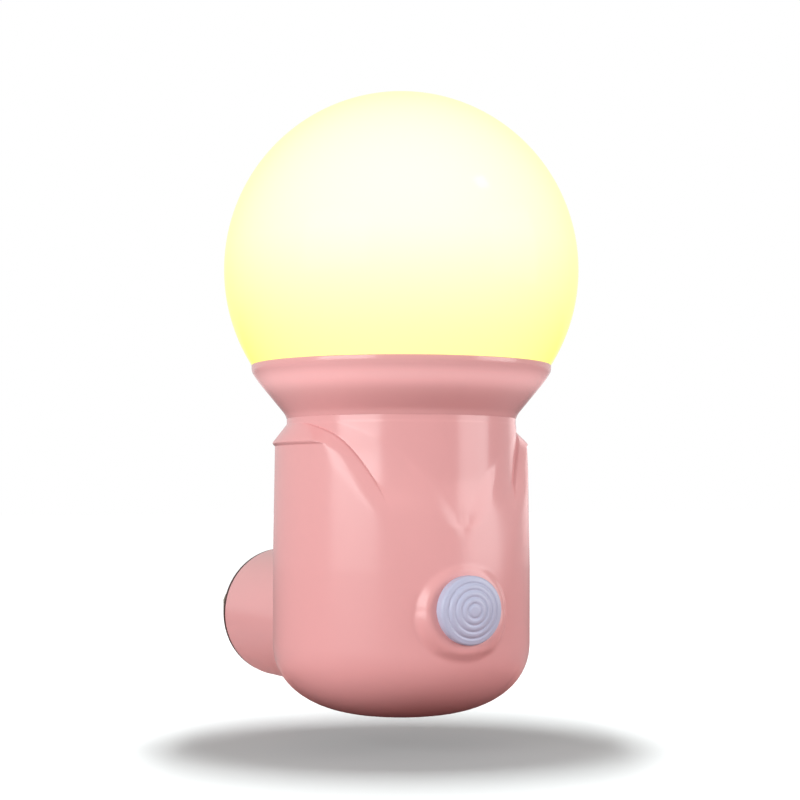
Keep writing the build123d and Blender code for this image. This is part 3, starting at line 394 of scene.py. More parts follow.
cup_grid = cup_points(body_profile[1:-1], outer_rows - 1)
cup_mesh_points = np.concatenate(
    [[(0, 0, BODY_BOTTOM_Z)], cup_grid.reshape(-1, 3), [(0, 0, CAVITY_FLOOR_Z)]]
)
cup = mesh_object("body_cup", cup_mesh_points + LAMP_AXIS, closed_grid_faces(*cup_grid.shape[:2]), 30)

HOLE_RADIUS = 6.45
HOLE_MOUTH_DEPTH = 26.0
FLANGE_ROOM_RADIUS = 7.55
FLANGE_ROOM_DEPTH = 22.6
FLANGE_ROOM_START = 15.0


def cut(piece, tool):
    """Takes the tool's space out of a piece, for good."""
    modifier = piece.modifiers.new("cut", "BOOLEAN")
    modifier.operation = "DIFFERENCE"
    modifier.solver = "EXACT"
    modifier.object = tool
    bpy.context.view_layer.objects.active = piece
    bpy.ops.object.modifier_apply(modifier=modifier.name)
    bpy.data.objects.remove(tool)


button_centre = LAMP_AXIS + np.array([0, 0, BUTTON_Z])
hole_outline = np.array(
    [
        (0, -FLANGE_ROOM_START),
        (FLANGE_ROOM_RADIUS, -FLANGE_ROOM_START),
        (FLANGE_ROOM_RADIUS, -FLANGE_ROOM_DEPTH),
        (HOLE_RADIUS, -FLANGE_ROOM_DEPTH),
        (HOLE_RADIUS, -HOLE_MOUTH_DEPTH),
        (0, -HOLE_MOUTH_DEPTH),
    ]
)
cut(cup, turned_piece("button_hole", hole_outline, "Y", 96, centre=button_centre))
cup.data.set_sharp_from_angle(angle=math.radians(30))


def node_setup(name):
    """A new node material: its shader, its node maker and its linker."""
    material = bpy.data.materials.new(name)
    material.use_nodes = True
    tree = material.node_tree
    return material, tree.nodes["Principled BSDF"], tree.nodes.new, tree.links.new


def map_range(add, low, high, to_low, to_high):
    """A node that maps the run from low to high onto the run from to_low to to_high, held at both ends."""
    node = add("ShaderNodeMapRange")
    node.inputs["From Min"].default_value = low
    node.inputs["From Max"].default_value = high
    node.inputs["To Min"].default_value = to_low
    node.inputs["To Max"].default_value = to_high
    return node


def away_from_axis(add, link):
    """The distance from the lamp's upright axis in metres: root(x^2 + (y - axis)^2)."""
    place = add("ShaderNodeTexCoord")
    flat = add("ShaderNodeVectorMath")
    flat.operation = "MULTIPLY"
    flat.inputs[1].default_value = (1, 1, 0)
    away = add("ShaderNodeVectorMath")
    away.operation = "DISTANCE"
    away.inputs[1].default_value = (0, LAMP_AXIS_Y, 0)
    link(place.outputs["Object"], flat.inputs[0])
    link(flat.outputs["Vector"], away.inputs[0])
    return away.outputs["Value"]


def moulded_plastic(name, colour, shade, roughness, coat, bump, grain, coat_roughness=0.12):
    """Moulded plastic: a colour with slow, faint mottling and a fine ripple in its skin, under a gloss."""
    material, shader, add, link = node_setup(name)
    place = add("ShaderNodeTexCoord")
    cloud = add("ShaderNodeTexNoise")
    cloud.inputs["Scale"].default_value = 45
    cloud.inputs["Detail"].default_value = 2
    mix = add("ShaderNodeMix")
    mix.data_type = "RGBA"
    mix.inputs["A"].default_value = (*colour, 1)
    mix.inputs["B"].default_value = (*shade, 1)
    ripple = add("ShaderNodeTexNoise")
    ripple.inputs["Scale"].default_value = grain
    ripple.inputs["Detail"].default_value = 3
    relief = add("ShaderNodeBump")
    relief.inputs["Strength"].default_value = bump
    relief.inputs["Distance"].default_value = 0.00005
    link(place.outputs["Object"], cloud.inputs["Vector"])
    link(place.outputs["Object"], ripple.inputs["Vector"])
    link(cloud.outputs["Fac"], mix.inputs["Factor"])
    link(mix.outputs["Result"], shader.inputs["Base Color"])
    link(ripple.outputs["Fac"], relief.inputs["Height"])
    link(relief.outputs["Normal"], shader.inputs["Normal"])
    shader.inputs["Roughness"].default_value = roughness
    shader.inputs["Coat Weight"].default_value = coat
    shader.inputs["Coat Roughness"].default_value = coat_roughness
    shader.inputs["IOR"].default_value = 1.36
    return material


def satin_outside(material, near, far, roughness):
    """Gloss that dulls away from the lamp's axis, by an S-curve: the material's own at near, satin at far.

    The satin stays below a roughness of 0.274, because a surface that crosses it shows a thin line there.
    """
    tree = material.node_tree
    shader = tree.nodes["Principled BSDF"]
    dull = map_range(tree.nodes.new, near, far, shader.inputs["Roughness"].default_value, roughness)
    dull.interpolation_type = "SMOOTHSTEP"
    tree.links.new(away_from_axis(tree.nodes.new, tree.links.new), dull.inputs["Value"])
    tree.links.new(dull.outputs["Result"], shader.inputs["Roughness"])


PINK = (0.76, 0.374, 0.374)
PINK_SHADE = (0.74, 0.36, 0.36)
PINK_SKIN = dict(roughness=0.20, coat=0.15, bump=0.12, grain=900)

pink_plastic = moulded_plastic("pink_plastic", PINK, PINK_SHADE, coat_roughness=0.20, **PINK_SKIN)
satin_outside(pink_plastic, 0.0221, 0.0244, 0.272)
cup.data.materials.append(pink_plastic)
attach(cup, "lamp")
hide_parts("body_shell")

# The flared collar
# A second pink moulding that plugs into the neck and flares out to a thin, square lip. It seats the globe
# and carries the light board on its floor, with a painted glow near its lip for light shining through it.

COLLAR_TOP_Z = 49.9
COLLAR_TOP_RADIUS = 28.35
COLLAR_LIP_HEIGHT = 1.2
FLARE_FOOT_OUT = 0.35
FLARE_FOOT_HEIGHT = 0.9
FLARE_BEND_INSET = 1.15
FLARE_BEND_Z = 46.9
FLARE_ROUNDINGS = (0.6, 2.2, 0.6, 0.18)
COLLAR_PLUG_RADIUS = 19.8
COLLAR_PLUG_BORE = 18.2
COLLAR_PLUG_FOOT_Z = 36.0
COLLAR_FLOOR_UNDER_Z = 41.6
COLLAR_FLOOR_Z = 43.4
WIRE_HOLE_RADIUS = 3.0
LIGHT_WELL_RADIUS = 22.0
GLOBE_SEAT_RADIUS = 24.6
GLOBE_SEAT_Z = 46.5


def ring_piece(name, outline, columns, sharp_degrees, centre):
    """A closed loop of (radius, place) pairs that doesn't touch the axis, turned about Z into a ring."""
    points = turned_rings(outline, "Z", columns) + np.array(centre)
    column = np.arange(columns)
    following = (column + 1) % columns
    row = np.arange(len(outline))[:, None]
    above = (row + 1) % len(outline) * columns
    row = row * columns
    faces = np.stack([row + column, row + following, above + following, above + column], axis=-1)
    return mesh_object(name, points, faces.reshape(-1, 4).tolist(), sharp_degrees)


flare = rounded_outline(
    [
        (NECK_RADIUS, NECK_TOP_Z),
        (NECK_RADIUS + FLARE_FOOT_OUT, NECK_TOP_Z + FLARE_FOOT_HEIGHT),
        (COLLAR_TOP_RADIUS - FLARE_BEND_INSET, FLARE_BEND_Z),
        (COLLAR_TOP_RADIUS, COLLAR_TOP_Z - COLLAR_LIP_HEIGHT),
        (COLLAR_TOP_RADIUS, COLLAR_TOP_Z),
        (GLOBE_SEAT_RADIUS, COLLAR_TOP_Z),
    ],
    FLARE_ROUNDINGS,
    7,
)
collar_profile = np.concatenate(
    [
        [
            (WIRE_HOLE_RADIUS, COLLAR_FLOOR_UNDER_Z),
            (COLLAR_PLUG_BORE, COLLAR_FLOOR_UNDER_Z),
            (COLLAR_PLUG_BORE, COLLAR_PLUG_FOOT_Z),
            (COLLAR_PLUG_RADIUS, COLLAR_PLUG_FOOT_Z),
            (COLLAR_PLUG_RADIUS, NECK_TOP_Z),
        ],
        divided(flare, 0.5),
        [
            (GLOBE_SEAT_RADIUS, GLOBE_SEAT_Z),
            (LIGHT_WELL_RADIUS, GLOBE_SEAT_Z),
            (LIGHT_WELL_RADIUS, COLLAR_FLOOR_Z),
            (WIRE_HOLE_RADIUS, COLLAR_FLOOR_Z),
        ],
    ]
)
collar = ring_piece("collar", collar_profile, 256, 25, LAMP_AXIS)


def painted_glow_band(material, low_z, high_z, colour, strength):
    """Painted glow for light through a thin wall: emission in a soft band of the plastic's own colour
    between two heights.
    """
    tree = material.node_tree
    place = tree.nodes.new("ShaderNodeTexCoord")
    split = tree.nodes.new("ShaderNodeSeparateXYZ")
    height = map_range(tree.nodes.new, low_z, high_z, 0, 1)
    band = tree.nodes.new("ShaderNodeValToRGB")
    band.color_ramp.interpolation = "B_SPLINE"
    band.color_ramp.elements[0].color = (0, 0, 0, 1)
    band.color_ramp.elements[1].color = (0, 0, 0, 1)
    for share, grey in ((0.35, 0.05), (0.62, 1), (0.86, 0)):
        band.color_ramp.elements.new(share).color = (grey, grey, grey, 1)
    level = tree.nodes.new("ShaderNodeMath")
    level.operation = "MULTIPLY"
    level.inputs[1].default_value = strength
    shader = tree.nodes["Principled BSDF"]
    tree.links.new(place.outputs["Object"], split.inputs["Vector"])
    tree.links.new(split.outputs["Z"], height.inputs["Value"])
    tree.links.new(height.outputs["Result"], band.inputs["Fac"])
    tree.links.new(band.outputs["Color"], level.inputs[0])
    tree.links.new(level.outputs["Value"], shader.inputs["Emission Strength"])
    shader.inputs["Emission Color"].default_value = (*colour, 1)


collar_plastic = moulded_plastic("collar_plastic", PINK, PINK_SHADE, **PINK_SKIN)
# A painted glow: pink emission in a band on the collar just under its lip.
painted_glow_band(collar_plastic, 0.041, COLLAR_TOP_Z * MM, (0.77, 0.47, 0.47), 0.63)
collar.data.materials.append(collar_plastic)
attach(collar, "lamp")
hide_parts("collar_ring")

# The globe
# A blown milk-white globe with a short neck that sits in the collar. Light from inside makes it glow a pale
# warm white, yellower low down, where it is nearest the light board.

GLOBE_RADIUS = 33.5
GLOBE_WALL = 1.5
GLOBE_NECK_RADIUS = 24.45
GLOBE_NECK_BORE = 22.95
GLOBE_NECK_FOOT_Z = 46.8
globe_centre_z = COLLAR_TOP_Z + math.sqrt(GLOBE_RADIUS**2 - COLLAR_TOP_RADIUS**2)


def arc_points(radius, centre_z, start, end, steps):
    """Points of (radius cos a, centre + radius sin a), from one angle to another."""
    angle = np.linspace(start, end, steps)
    return np.stack([radius * np.cos(angle), centre_z + radius * np.sin(angle)], axis=-1)


seat_angle = math.atan2(COLLAR_TOP_Z - globe_centre_z, COLLAR_TOP_RADIUS)
inner_radius = GLOBE_RADIUS - GLOBE_WALL
inner_seat_angle = math.asin((COLLAR_TOP_Z + GLOBE_WALL - globe_centre_z) / inner_radius)
globe_outside = arc_points(GLOBE_RADIUS, globe_centre_z, seat_angle, math.pi / 2, 120)
globe_inside = arc_points(inner_radius, globe_centre_z, math.pi / 2, inner_seat_angle, 60)
globe_outside[-1, 0] = 0
globe_inside[0, 0] = 0
globe_neck = [
    (GLOBE_NECK_BORE, COLLAR_TOP_Z + GLOBE_WALL),
    (GLOBE_NECK_BORE, GLOBE_NECK_FOOT_Z),
    (GLOBE_NECK_RADIUS, GLOBE_NECK_FOOT_Z),
    (GLOBE_NECK_RADIUS, COLLAR_TOP_Z),
]
globe_profile = np.concatenate([globe_inside, globe_neck, globe_outside])
globe = turned_piece("globe", globe_profile, "Z", 256, centre=LAMP_AXIS)


def glowing_globe():
    """Frosted plastic, lit from inside: a warm glow that pales towards the top, with a faint cloudiness."""
    material, shader, add, link = node_setup("frosted_globe")
    place = add("ShaderNodeTexCoord")
    split = add("ShaderNodeSeparateXYZ")
    height = map_range(add, 0.051, 0.101, 0, 1)
    ramp = add("ShaderNodeValToRGB")
    ramp.color_ramp.interpolation = "B_SPLINE"
    ramp.color_ramp.elements[0].color = (0.70, 0.70, 0.40, 1)
    ramp.color_ramp.elements[1].color = (0.70, 0.70, 0.90, 1)
    for share, blue in ((0.12, 0.45), (0.28, 0.61), (0.42, 0.76), (0.7, 0.85)):
        ramp.color_ramp.elements.new(share).color = (0.70, 0.70, blue, 1)
    cloud = add("ShaderNodeTexNoise")
    cloud.inputs["Scale"].default_value = 30
    cloud.inputs["Detail"].default_value = 3
    tint = add("ShaderNodeMix")
    tint.data_type = "RGBA"
    tint.inputs["A"].default_value = (0.13, 0.13, 0.12, 1)
    tint.inputs["B"].default_value = (0.16, 0.16, 0.15, 1)
    link(place.outputs["Object"], split.inputs["Vector"])
    link(place.outputs["Object"], cloud.inputs["Vector"])
    link(split.outputs["Z"], height.inputs["Value"])
    link(height.outputs["Result"], ramp.inputs["Fac"])
    link(ramp.outputs["Color"], shader.inputs["Emission Color"])
    link(cloud.outputs["Fac"], tint.inputs["Factor"])
    link(tint.outputs["Result"], shader.inputs["Base Color"])
    shader.inputs["Emission Strength"].default_value = 1.6
    shader.inputs["Roughness"].default_value = 0.5
    shader.inputs["Specular IOR Level"].default_value = 0
    shader.inputs["Coat Weight"].default_value = 1
    shader.inputs["Coat Roughness"].default_value = 0.12
    shader.inputs["Coat IOR"].default_value = 1.1
    shader.inputs["Coat Tint"].default_value = (1, 1, 0.67, 1)
    return material


globe.data.materials.append(glowing_globe())
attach(globe, "lamp")
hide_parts("globe_diffuser")

# The push button
# A pale satin cap with a soft rim and four moulded rings in its domed face. It slides in the pad's hole and
# its flange stops it behind the wall.

BUTTON_RADIUS = 6.2
BUTTON_RIM = 0.6
BUTTON_RIM_DEPTH = 25.9
BUTTON_FACE_RADIUS = BUTTON_RADIUS - BUTTON_RIM
BUTTON_DOME_RISE = 1.1
BUTTON_ROOF_DEPTH = 24.5
BUTTON_BORE = 5.2
FLANGE_RADIUS = 7.3
FLANGE_BACK_DEPTH = 21.35
FLANGE_FRONT_DEPTH = 22.55
STEM_RADIUS = 3.2
STEM_FOOT_DEPTH = 18.0
PLUNGER_SOCKET_RADIUS = 1.53
PLUNGER_SOCKET_DEPTH = 19.8
RING_RADII = (1.3, 2.5, 3.7, 4.9)
RING_WIDTH = 0.26
RING_DEPTH = 0.2


def ringed_dome(edge, rim_depth, rise, steps):
    """A dome of rise (1 - (r/edge)^2), less round-bottomed rings of depth exp(-((r - ring)/width)^2)."""
    radius = np.linspace(edge, 0, steps)
    place = rim_depth + rise * (1 - (radius / edge) ** 2)
    grooves = np.exp(-(((radius[:, None] - np.array(RING_RADII)) / RING_WIDTH) ** 2)).sum(axis=1)
    return np.stack([radius, place - RING_DEPTH * grooves], axis=-1)


rim_turn = np.linspace(0, math.pi / 2, 8)
button_rim = np.stack(
    [BUTTON_FACE_RADIUS + BUTTON_RIM * np.cos(rim_turn), BUTTON_RIM_DEPTH + BUTTON_RIM * np.sin(rim_turn)],
    axis=-1,
)
button_profile = np.concatenate(
    [
        [
            (0, PLUNGER_SOCKET_DEPTH),
            (PLUNGER_SOCKET_RADIUS, PLUNGER_SOCKET_DEPTH),
            (PLUNGER_SOCKET_RADIUS, STEM_FOOT_DEPTH),
            (STEM_RADIUS, STEM_FOOT_DEPTH),
            (STEM_RADIUS, BUTTON_ROOF_DEPTH),
            (BUTTON_BORE, BUTTON_ROOF_DEPTH),
            (BUTTON_BORE, FLANGE_BACK_DEPTH),
            (FLANGE_RADIUS, FLANGE_BACK_DEPTH),
            (FLANGE_RADIUS, FLANGE_FRONT_DEPTH),
            (BUTTON_RADIUS, FLANGE_FRONT_DEPTH),
        ],
        button_rim,
        ringed_dome(BUTTON_FACE_RADIUS, BUTTON_RIM_DEPTH + BUTTON_RIM, BUTTON_DOME_RISE, 110)[1:],
    ]
)
button_profile[:, 1] *= -1
button = turned_piece("button", button_profile[::-1], "Y", 160, 35, button_centre)
pale_plastic = moulded_plastic(
    "pale_plastic", (0.49, 0.52, 0.68), (0.47, 0.50, 0.65), roughness=0.38, coat=0.1, bump=0.15, grain=1400
)
button.data.materials.append(pale_plastic)
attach(button, "button")
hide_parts("button_cap")

# The plug boss
# A round pink moulding between the body and the wall. One end is a saddle that sits on the cup's back, and
# the other holds the turning plug.

BOSS_RADIUS = 13.85
BOSS_WALL_END_Y = -1.6
BOSS_END_ROUNDING = 0.5
DISC_RECESS_RADIUS = 11.9
DISC_RECESS_FLOOR_Y = -9.0
BOSS_BORE_RADIUS = 10.6
BOSS_BORE_END_Y = -26.85
BOSS_COLUMNS = 160


def cup_radius(z):
    """The cup's radius at a height, read off its turned profile."""
    return np.interp(z, body_profile[1:outer_rows, 1], body_profile[1:outer_rows, 0])


def saddle_depth(x, z):
    """How far behind the lamp's axis the cup's surface lies: the root of its radius squared less x^2."""
    return np.sqrt(np.maximum(cup_radius(z) ** 2 - x**2, 1.0)) - 0.05


boss_turn = np.linspace(0, 2 * np.pi, BOSS_COLUMNS, endpoint=False)
saddle_share = np.linspace(0, 1, 12)[1:, None]
saddle_x = BOSS_RADIUS * saddle_share * np.cos(boss_turn)
saddle_z = BOSS_RADIUS * saddle_share * np.sin(boss_turn)
saddle_y = LAMP_AXIS[1] + saddle_depth(saddle_x, saddle_z)
wall_share = np.linspace(0, 1, 24)[1:, None]
wall_x = np.broadcast_to(BOSS_RADIUS * np.cos(boss_turn), (len(wall_share), BOSS_COLUMNS))
wall_z = np.broadcast_to(BOSS_RADIUS * np.sin(boss_turn), (len(wall_share), BOSS_COLUMNS))
wall_y = saddle_y[-1] + (BOSS_WALL_END_Y - saddle_y[-1]) * wall_share
end_turn = np.linspace(0, math.pi / 2, 6)[1:]
end_rounding = np.stack(
    [
        BOSS_RADIUS - BOSS_END_ROUNDING + BOSS_END_ROUNDING * np.cos(end_turn),
        BOSS_WALL_END_Y + BOSS_END_ROUNDING * np.sin(end_turn),
    ],
    axis=-1,
)
end_recess = [
    (DISC_RECESS_RADIUS, BOSS_WALL_END_Y + BOSS_END_ROUNDING),
    (DISC_RECESS_RADIUS, DISC_RECESS_FLOOR_Y),
    (BOSS_BORE_RADIUS, DISC_RECESS_FLOOR_Y),
    (BOSS_BORE_RADIUS, BOSS_BORE_END_Y),
]
boss_end = np.concatenate([end_rounding, end_recess])
end_x = boss_end[:, :1] * np.cos(boss_turn)
end_z = boss_end[:, :1] * np.sin(boss_turn)
end_y = np.broadcast_to(boss_end[:, 1:], end_x.shape)
boss_grid = np.stack(
    [
        np.concatenate([saddle_x, wall_x, end_x]),
        np.concatenate([saddle_y, wall_y, end_y]),
        np.concatenate([saddle_z, wall_z, end_z]),
    ],
    axis=-1,
)
saddle_pole = (0, LAMP_AXIS[1] + float(saddle_depth(0.0, 0.0)), 0)
boss_points = np.concatenate([[saddle_pole], boss_grid.reshape(-1, 3), [(0, BOSS_BORE_END_Y, 0)]])
boss_faces = [face[::-1] for face in closed_grid_faces(*boss_grid.shape[:2])]
boss = mesh_object("boss", boss_points, boss_faces)
boss.data.materials.append(pink_plastic)
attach(boss, "lamp")
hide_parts("plug_boss")

# The turning plug
# A moulded disc that stays in the socket while the lamp turns on it, its dark colour painted shade for the
# line at the boss's end. Its thin lip covers that end, and a split, hooked stem snaps through the contact
# plate.

DISC_LIP_RADIUS = 13.7
DISC_LIP_DEPTH = 0.9
DISC_CHAMFER_WIDTH = 0.2
DISC_CHAMFER_DEPTH = 0.15
DISC_RADIUS = 11.82
DISC_DEPTH = 4.0
CATCH_NECK_RADIUS = 3.0
CATCH_BACK_DEPTH = 10.9
CATCH_RADIUS = 3.4
CATCH_DEPTH = 11.15
CATCH_TIP_RADIUS = 2.4
CATCH_TIP_DEPTH = 12.75

disc_outline = np.array(
    [
        (0, 0),
        (DISC_LIP_RADIUS - DISC_CHAMFER_WIDTH, 0),
        (DISC_LIP_RADIUS, -DISC_CHAMFER_DEPTH),
        (DISC_LIP_RADIUS, -DISC_LIP_DEPTH),
        (DISC_RADIUS, -DISC_LIP_DEPTH),
        (DISC_RADIUS, -DISC_DEPTH),
        (CATCH_NECK_RADIUS, -DISC_DEPTH),
        (CATCH_NECK_RADIUS, -CATCH_BACK_DEPTH),
        (CATCH_RADIUS, -CATCH_DEPTH),
        (CATCH_TIP_RADIUS, -CATCH_TIP_DEPTH),
        (0, -CATCH_TIP_DEPTH),
    ]
)
disc = turned_piece("plug_disc_moulding", disc_outline, "Y", 128, 30)
# Painted shade: the disc's dark maroon stands for the shaded line at the boss's far end.
dark_plastic = moulded_plastic(
    "dark_plastic", (0.070, 0.030, 0.024), (0.058, 0.025, 0.020), roughness=0.45, coat=0.05, bump=0.2,
    grain=1600,
)
disc.data.materials.append(dark_plastic)
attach(disc, "plug")
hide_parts("plug_disc")

# The blades, the contacts and the screws
# Folded brass blades with chamfered tips and a round hole each, plated against tarnish, brass tracks and
# fingers that carry the current while the lamp turns, and zinc-plated screws.


def worked_metal(name, colour, roughness, brushing):
    """Worked metal: a bright colour with fine drawn lines in its gloss along the piece's length."""
    material, shader, add, link = node_setup(name)
    place = add("ShaderNodeTexCoord")
    stretch = add("ShaderNodeMapping")
    stretch.inputs["Scale"].default_value = (1, brushing, 1)
    lines = add("ShaderNodeTexNoise")
    lines.inputs["Scale"].default_value = 1800
    gloss = map_range(add, 0, 1, roughness - 0.06, roughness + 0.08)
    relief = add("ShaderNodeBump")
    relief.inputs["Strength"].default_value = 0.15
    relief.inputs["Distance"].default_value = 0.00002
    link(place.outputs["Object"], stretch.inputs["Vector"])
    link(stretch.outputs["Vector"], lines.inputs["Vector"])
    link(lines.outputs["Fac"], gloss.inputs["Value"])
    link(gloss.outputs["Result"], shader.inputs["Roughness"])
    link(lines.outputs["Fac"], relief.inputs["Height"])
    link(relief.outputs["Normal"], shader.inputs["Normal"])
    shader.inputs["Base Color"].default_value = (*colour, 1)
    shader.inputs["Metallic"].default_value = 1
    return material


def dress(material, *names):
    """Gives CAD nodes a material in place of their own."""
    for name in names:
        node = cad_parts[name]
        node.data.materials.clear()
        node.data.materials.append(material)


plated_blade = worked_metal("plated_blade", (0.83, 0.76, 0.58), roughness=0.26, brushing=0.1)
sprung_brass = worked_metal("sprung_brass", (0.80, 0.60, 0.28), roughness=0.30, brushing=0.2)
zinc_screw = worked_metal("zinc_screw", (0.70, 0.71, 0.73), roughness=0.30, brushing=1.0)
dress(plated_blade, "live_blade", "neutral_blade")
dress(sprung_brass, "live_track", "neutral_track", "live_finger", "neutral_finger")
dress(zinc_screw, "boss_screws", "plate_screws", "collar_screws", "led_board_screws")

# The return spring
# A coil of drawn wire between the switch's front and the button's roof. It shortens by the button's travel
# when the button is pressed.

SPRING_RADIUS = 4.2
SPRING_WIRE_RADIUS = 0.22
SPRING_FOOT_DEPTH = 16.2
SPRING_HEAD_DEPTH = 24.45


def coil_mesh(turns, steps, sides):
    """A round wire on a helix about Y, ends closed: centre (R cos t, y0 - h t/T, R sin t), t from 0 to T.

    The wire's ring is centre + w (radial cos s + binormal sin s), with the binormal square to the radius and
    the wire.
    """
    turn = np.linspace(0, 2 * np.pi * turns, steps)[:, None]
    foot = LAMP_AXIS[1] - SPRING_FOOT_DEPTH - SPRING_WIRE_RADIUS
    fall = (SPRING_HEAD_DEPTH - SPRING_FOOT_DEPTH - 2 * SPRING_WIRE_RADIUS) / turn[-1, 0]
    flat = np.zeros_like(turn)
    radial = np.concatenate([np.cos(turn), flat, np.sin(turn)], axis=1)
    round_axis = np.concatenate([-np.sin(turn), flat, np.cos(turn)], axis=1)
    along = SPRING_RADIUS * round_axis - fall * np.array([0, 1, 0])
    along /= np.linalg.norm(along, axis=1, keepdims=True)
    centre = SPRING_RADIUS * radial + np.array([0, foot, BUTTON_Z]) - fall * turn * np.array([0, 1, 0])
    around = np.linspace(0, 2 * np.pi, sides, endpoint=False)[None, :, None]
    binormal = np.cross(radial, along)
    ring = radial[:, None] * np.cos(around) + binormal[:, None] * np.sin(around)
    points = (centre[:, None] + SPRING_WIRE_RADIUS * ring).reshape(-1, 3)
    column = np.arange(sides)
    following = (column + 1) % sides
    row = np.arange(steps - 1)[:, None] * sides
    above = row + sides
    faces = np.stack([row + column, above + column, above + following, row + following], axis=-1)
    last = (steps - 1) * sides + column
    return points, faces.reshape(-1, 4).tolist() + [column.tolist(), last[::-1].tolist()]


spring = mesh_object("return_spring", *coil_mesh(turns=5, steps=241, sides=12))
spring.data.materials.append(worked_metal("spring_wire", (0.58, 0.59, 0.61), roughness=0.28, brushing=1.0))
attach(spring, "lamp")
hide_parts("button_spring")
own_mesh(spring)

# The parts inside
# Nylon contact plate and plunger, a green driver board with its moulded parts, and a white board with its
# chips. All of them are hidden by the mouldings.

natural_nylon = moulded_plastic(
    "natural_nylon", (0.80, 0.80, 0.75), (0.76, 0.76, 0.70), roughness=0.5, coat=0.0, bump=0.2, grain=1500
)
black_package = moulded_plastic(
    "black_package", (0.012, 0.012, 0.014), (0.02, 0.02, 0.022), roughness=0.5, coat=0.0, bump=0.3,
    grain=2500,
)
green_board = moulded_plastic(
    "green_board", (0.02, 0.12, 0.04), (0.025, 0.15, 0.05), roughness=0.35, coat=0.2, bump=0.2, grain=1200
)
white_board = moulded_plastic(
    "white_board", (0.84, 0.84, 0.82), (0.80, 0.80, 0.78), roughness=0.35, coat=0.2, bump=0.1, grain=1200
)
chip_window = moulded_plastic(
    "chip_window", (0.90, 0.72, 0.22), (0.86, 0.66, 0.18), roughness=0.3, coat=0.3, bump=0.1, grain=3000
)
dipped_case = moulded_plastic(
    "dipped_case", (0.35, 0.03, 0.02), (0.30, 0.025, 0.02), roughness=0.3, coat=0.4, bump=0.3, grain=700
)
resistor_coat = moulded_plastic(
    "resistor_coat", (0.48, 0.36, 0.18), (0.44, 0.33, 0.16), roughness=0.45, coat=0.1, bump=0.3, grain=1500
)
wire_cover = moulded_plastic(
    "wire_cover", (0.68, 0.66, 0.62), (0.64, 0.62, 0.58), roughness=0.5, coat=0.0, bump=0.2, grain=1500
)
dress(natural_nylon, "brush_plate", "switch_plunger")
dress(black_package, "push_switch", "electrolytic_capacitor", "bridge_rectifier", "controller_chip")
dress(green_board, "driver_board")
dress(white_board, "led_board")
dress(chip_window, "led_chips")
dress(dipped_case, "film_capacitor")
dress(resistor_coat, "fuse_resistor", "bleed_resistors")
dress(wire_cover, "mains_leads", "led_leads")

# The floor and the light
# A white floor just under the lamp that fades into a white world. A tall soft lamp at each side makes the
# long highlights, one behind lights the cup's right edge, a small one makes the globe's spark, and one
# overhead makes the shadow.

floor_z = -0.0225
floor_half = 3.0
floor_mesh = bpy.data.meshes.new("floor")
floor_mesh.from_pydata(
    [
        (-floor_half, -floor_half, floor_z),
        (floor_half, -floor_half, floor_z),
        (floor_half, floor_half, floor_z),
        (-floor_half, floor_half, floor_z),
    ],
    [],
    [(0, 1, 2, 3)],
)
floor = bpy.data.objects.new("floor", floor_mesh)
bpy.context.scene.collection.objects.link(floor)


def sight(add, link, gloss_share):
    """The backdrop's white that a ray sees: all by eye or through glass, a share in gloss, else none."""
    path = add("ShaderNodeLightPath")
    gloss = add("ShaderNodeMath")
    gloss.operation = "MULTIPLY"
    gloss.inputs[1].default_value = gloss_share
    link(path.outputs["Is Glossy Ray"], gloss.inputs[0])
    share = gloss.outputs["Value"]
    for ray in ("Is Camera Ray", "Is Transmission Ray"):
        larger = add("ShaderNodeMath")
        larger.operation = "MAXIMUM"
        link(path.outputs[ray], larger.inputs[0])
        link(share, larger.inputs[1])
        share = larger.outputs["Value"]
    return share


def far_gloss(add, link, distance):
    """The white that the far floor shows in gloss: from none at 0.2 m away to the world's share at 1.5 m."""
    path = add("ShaderNodeLightPath")
    reach = map_range(add, 0.2, 1.5, 0, 0.65)
    level = add("ShaderNodeMath")
    level.operation = "MULTIPLY"
    link(distance, reach.inputs["Value"])
    link(reach.outputs["Result"], level.inputs[0])
    link(path.outputs["Is Glossy Ray"], level.inputs[1])
    return level.outputs["Value"]


def white_floor():
    """A matt floor that reads as plain white away from the shadow, and sends little light up at the lamp.

    Its own light grows from the lamp's foot outwards, so the far floor is as white as the world. To other
    rays its colour is dark grey, with a painted pink bounce close in for light off the pink mouldings.
    """
    material, shader, add, link = node_setup("white_floor")
    shader.inputs["Roughness"].default_value = 1
    shader.inputs["Specular IOR Level"].default_value = 0
    shader.inputs["Emission Color"].default_value = (1, 1, 1, 1)
    seen = sight(add, link, 0)
    distance = away_from_axis(add, link)
    reach = map_range(add, 0.06, 0.25, 0.245, 1)
    level = add("ShaderNodeMath")
    level.operation = "MULTIPLY"
    # A painted pink bounce: the floor's colour for diffuse and glossy rays, pink within 0.1 m of the axis,
    # grey beyond.
    painted_bounce_reach = map_range(add, 0.05, 0.10, 0, 1)
    painted_bounce = add("ShaderNodeMix")
    painted_bounce.data_type = "RGBA"
    painted_bounce.inputs["A"].default_value = (0.165, 0.075, 0.071, 1)
    painted_bounce.inputs["B"].default_value = (0.09, 0.09, 0.09, 1)
    paint = add("ShaderNodeMix")
    paint.data_type = "RGBA"
    paint.inputs["B"].default_value = (0.232, 0.243, 0.244, 1)
    total = add("ShaderNodeMath")
    total.operation = "ADD"
    link(distance, reach.inputs["Value"])
    link(seen, level.inputs[0])
    link(reach.outputs["Result"], level.inputs[1])
    link(level.outputs["Value"], total.inputs[0])
    link(far_gloss(add, link, distance), total.inputs[1])
    link(distance, painted_bounce_reach.inputs["Value"])
    link(painted_bounce_reach.outputs["Result"], painted_bounce.inputs["Factor"])
    link(painted_bounce.outputs["Result"], paint.inputs["A"])
    link(seen, paint.inputs["Factor"])
    link(paint.outputs["Result"], shader.inputs["Base Color"])
    link(total.outputs["Value"], shader.inputs["Emission Strength"])
    return material


floor_mesh.materials.append(white_floor())

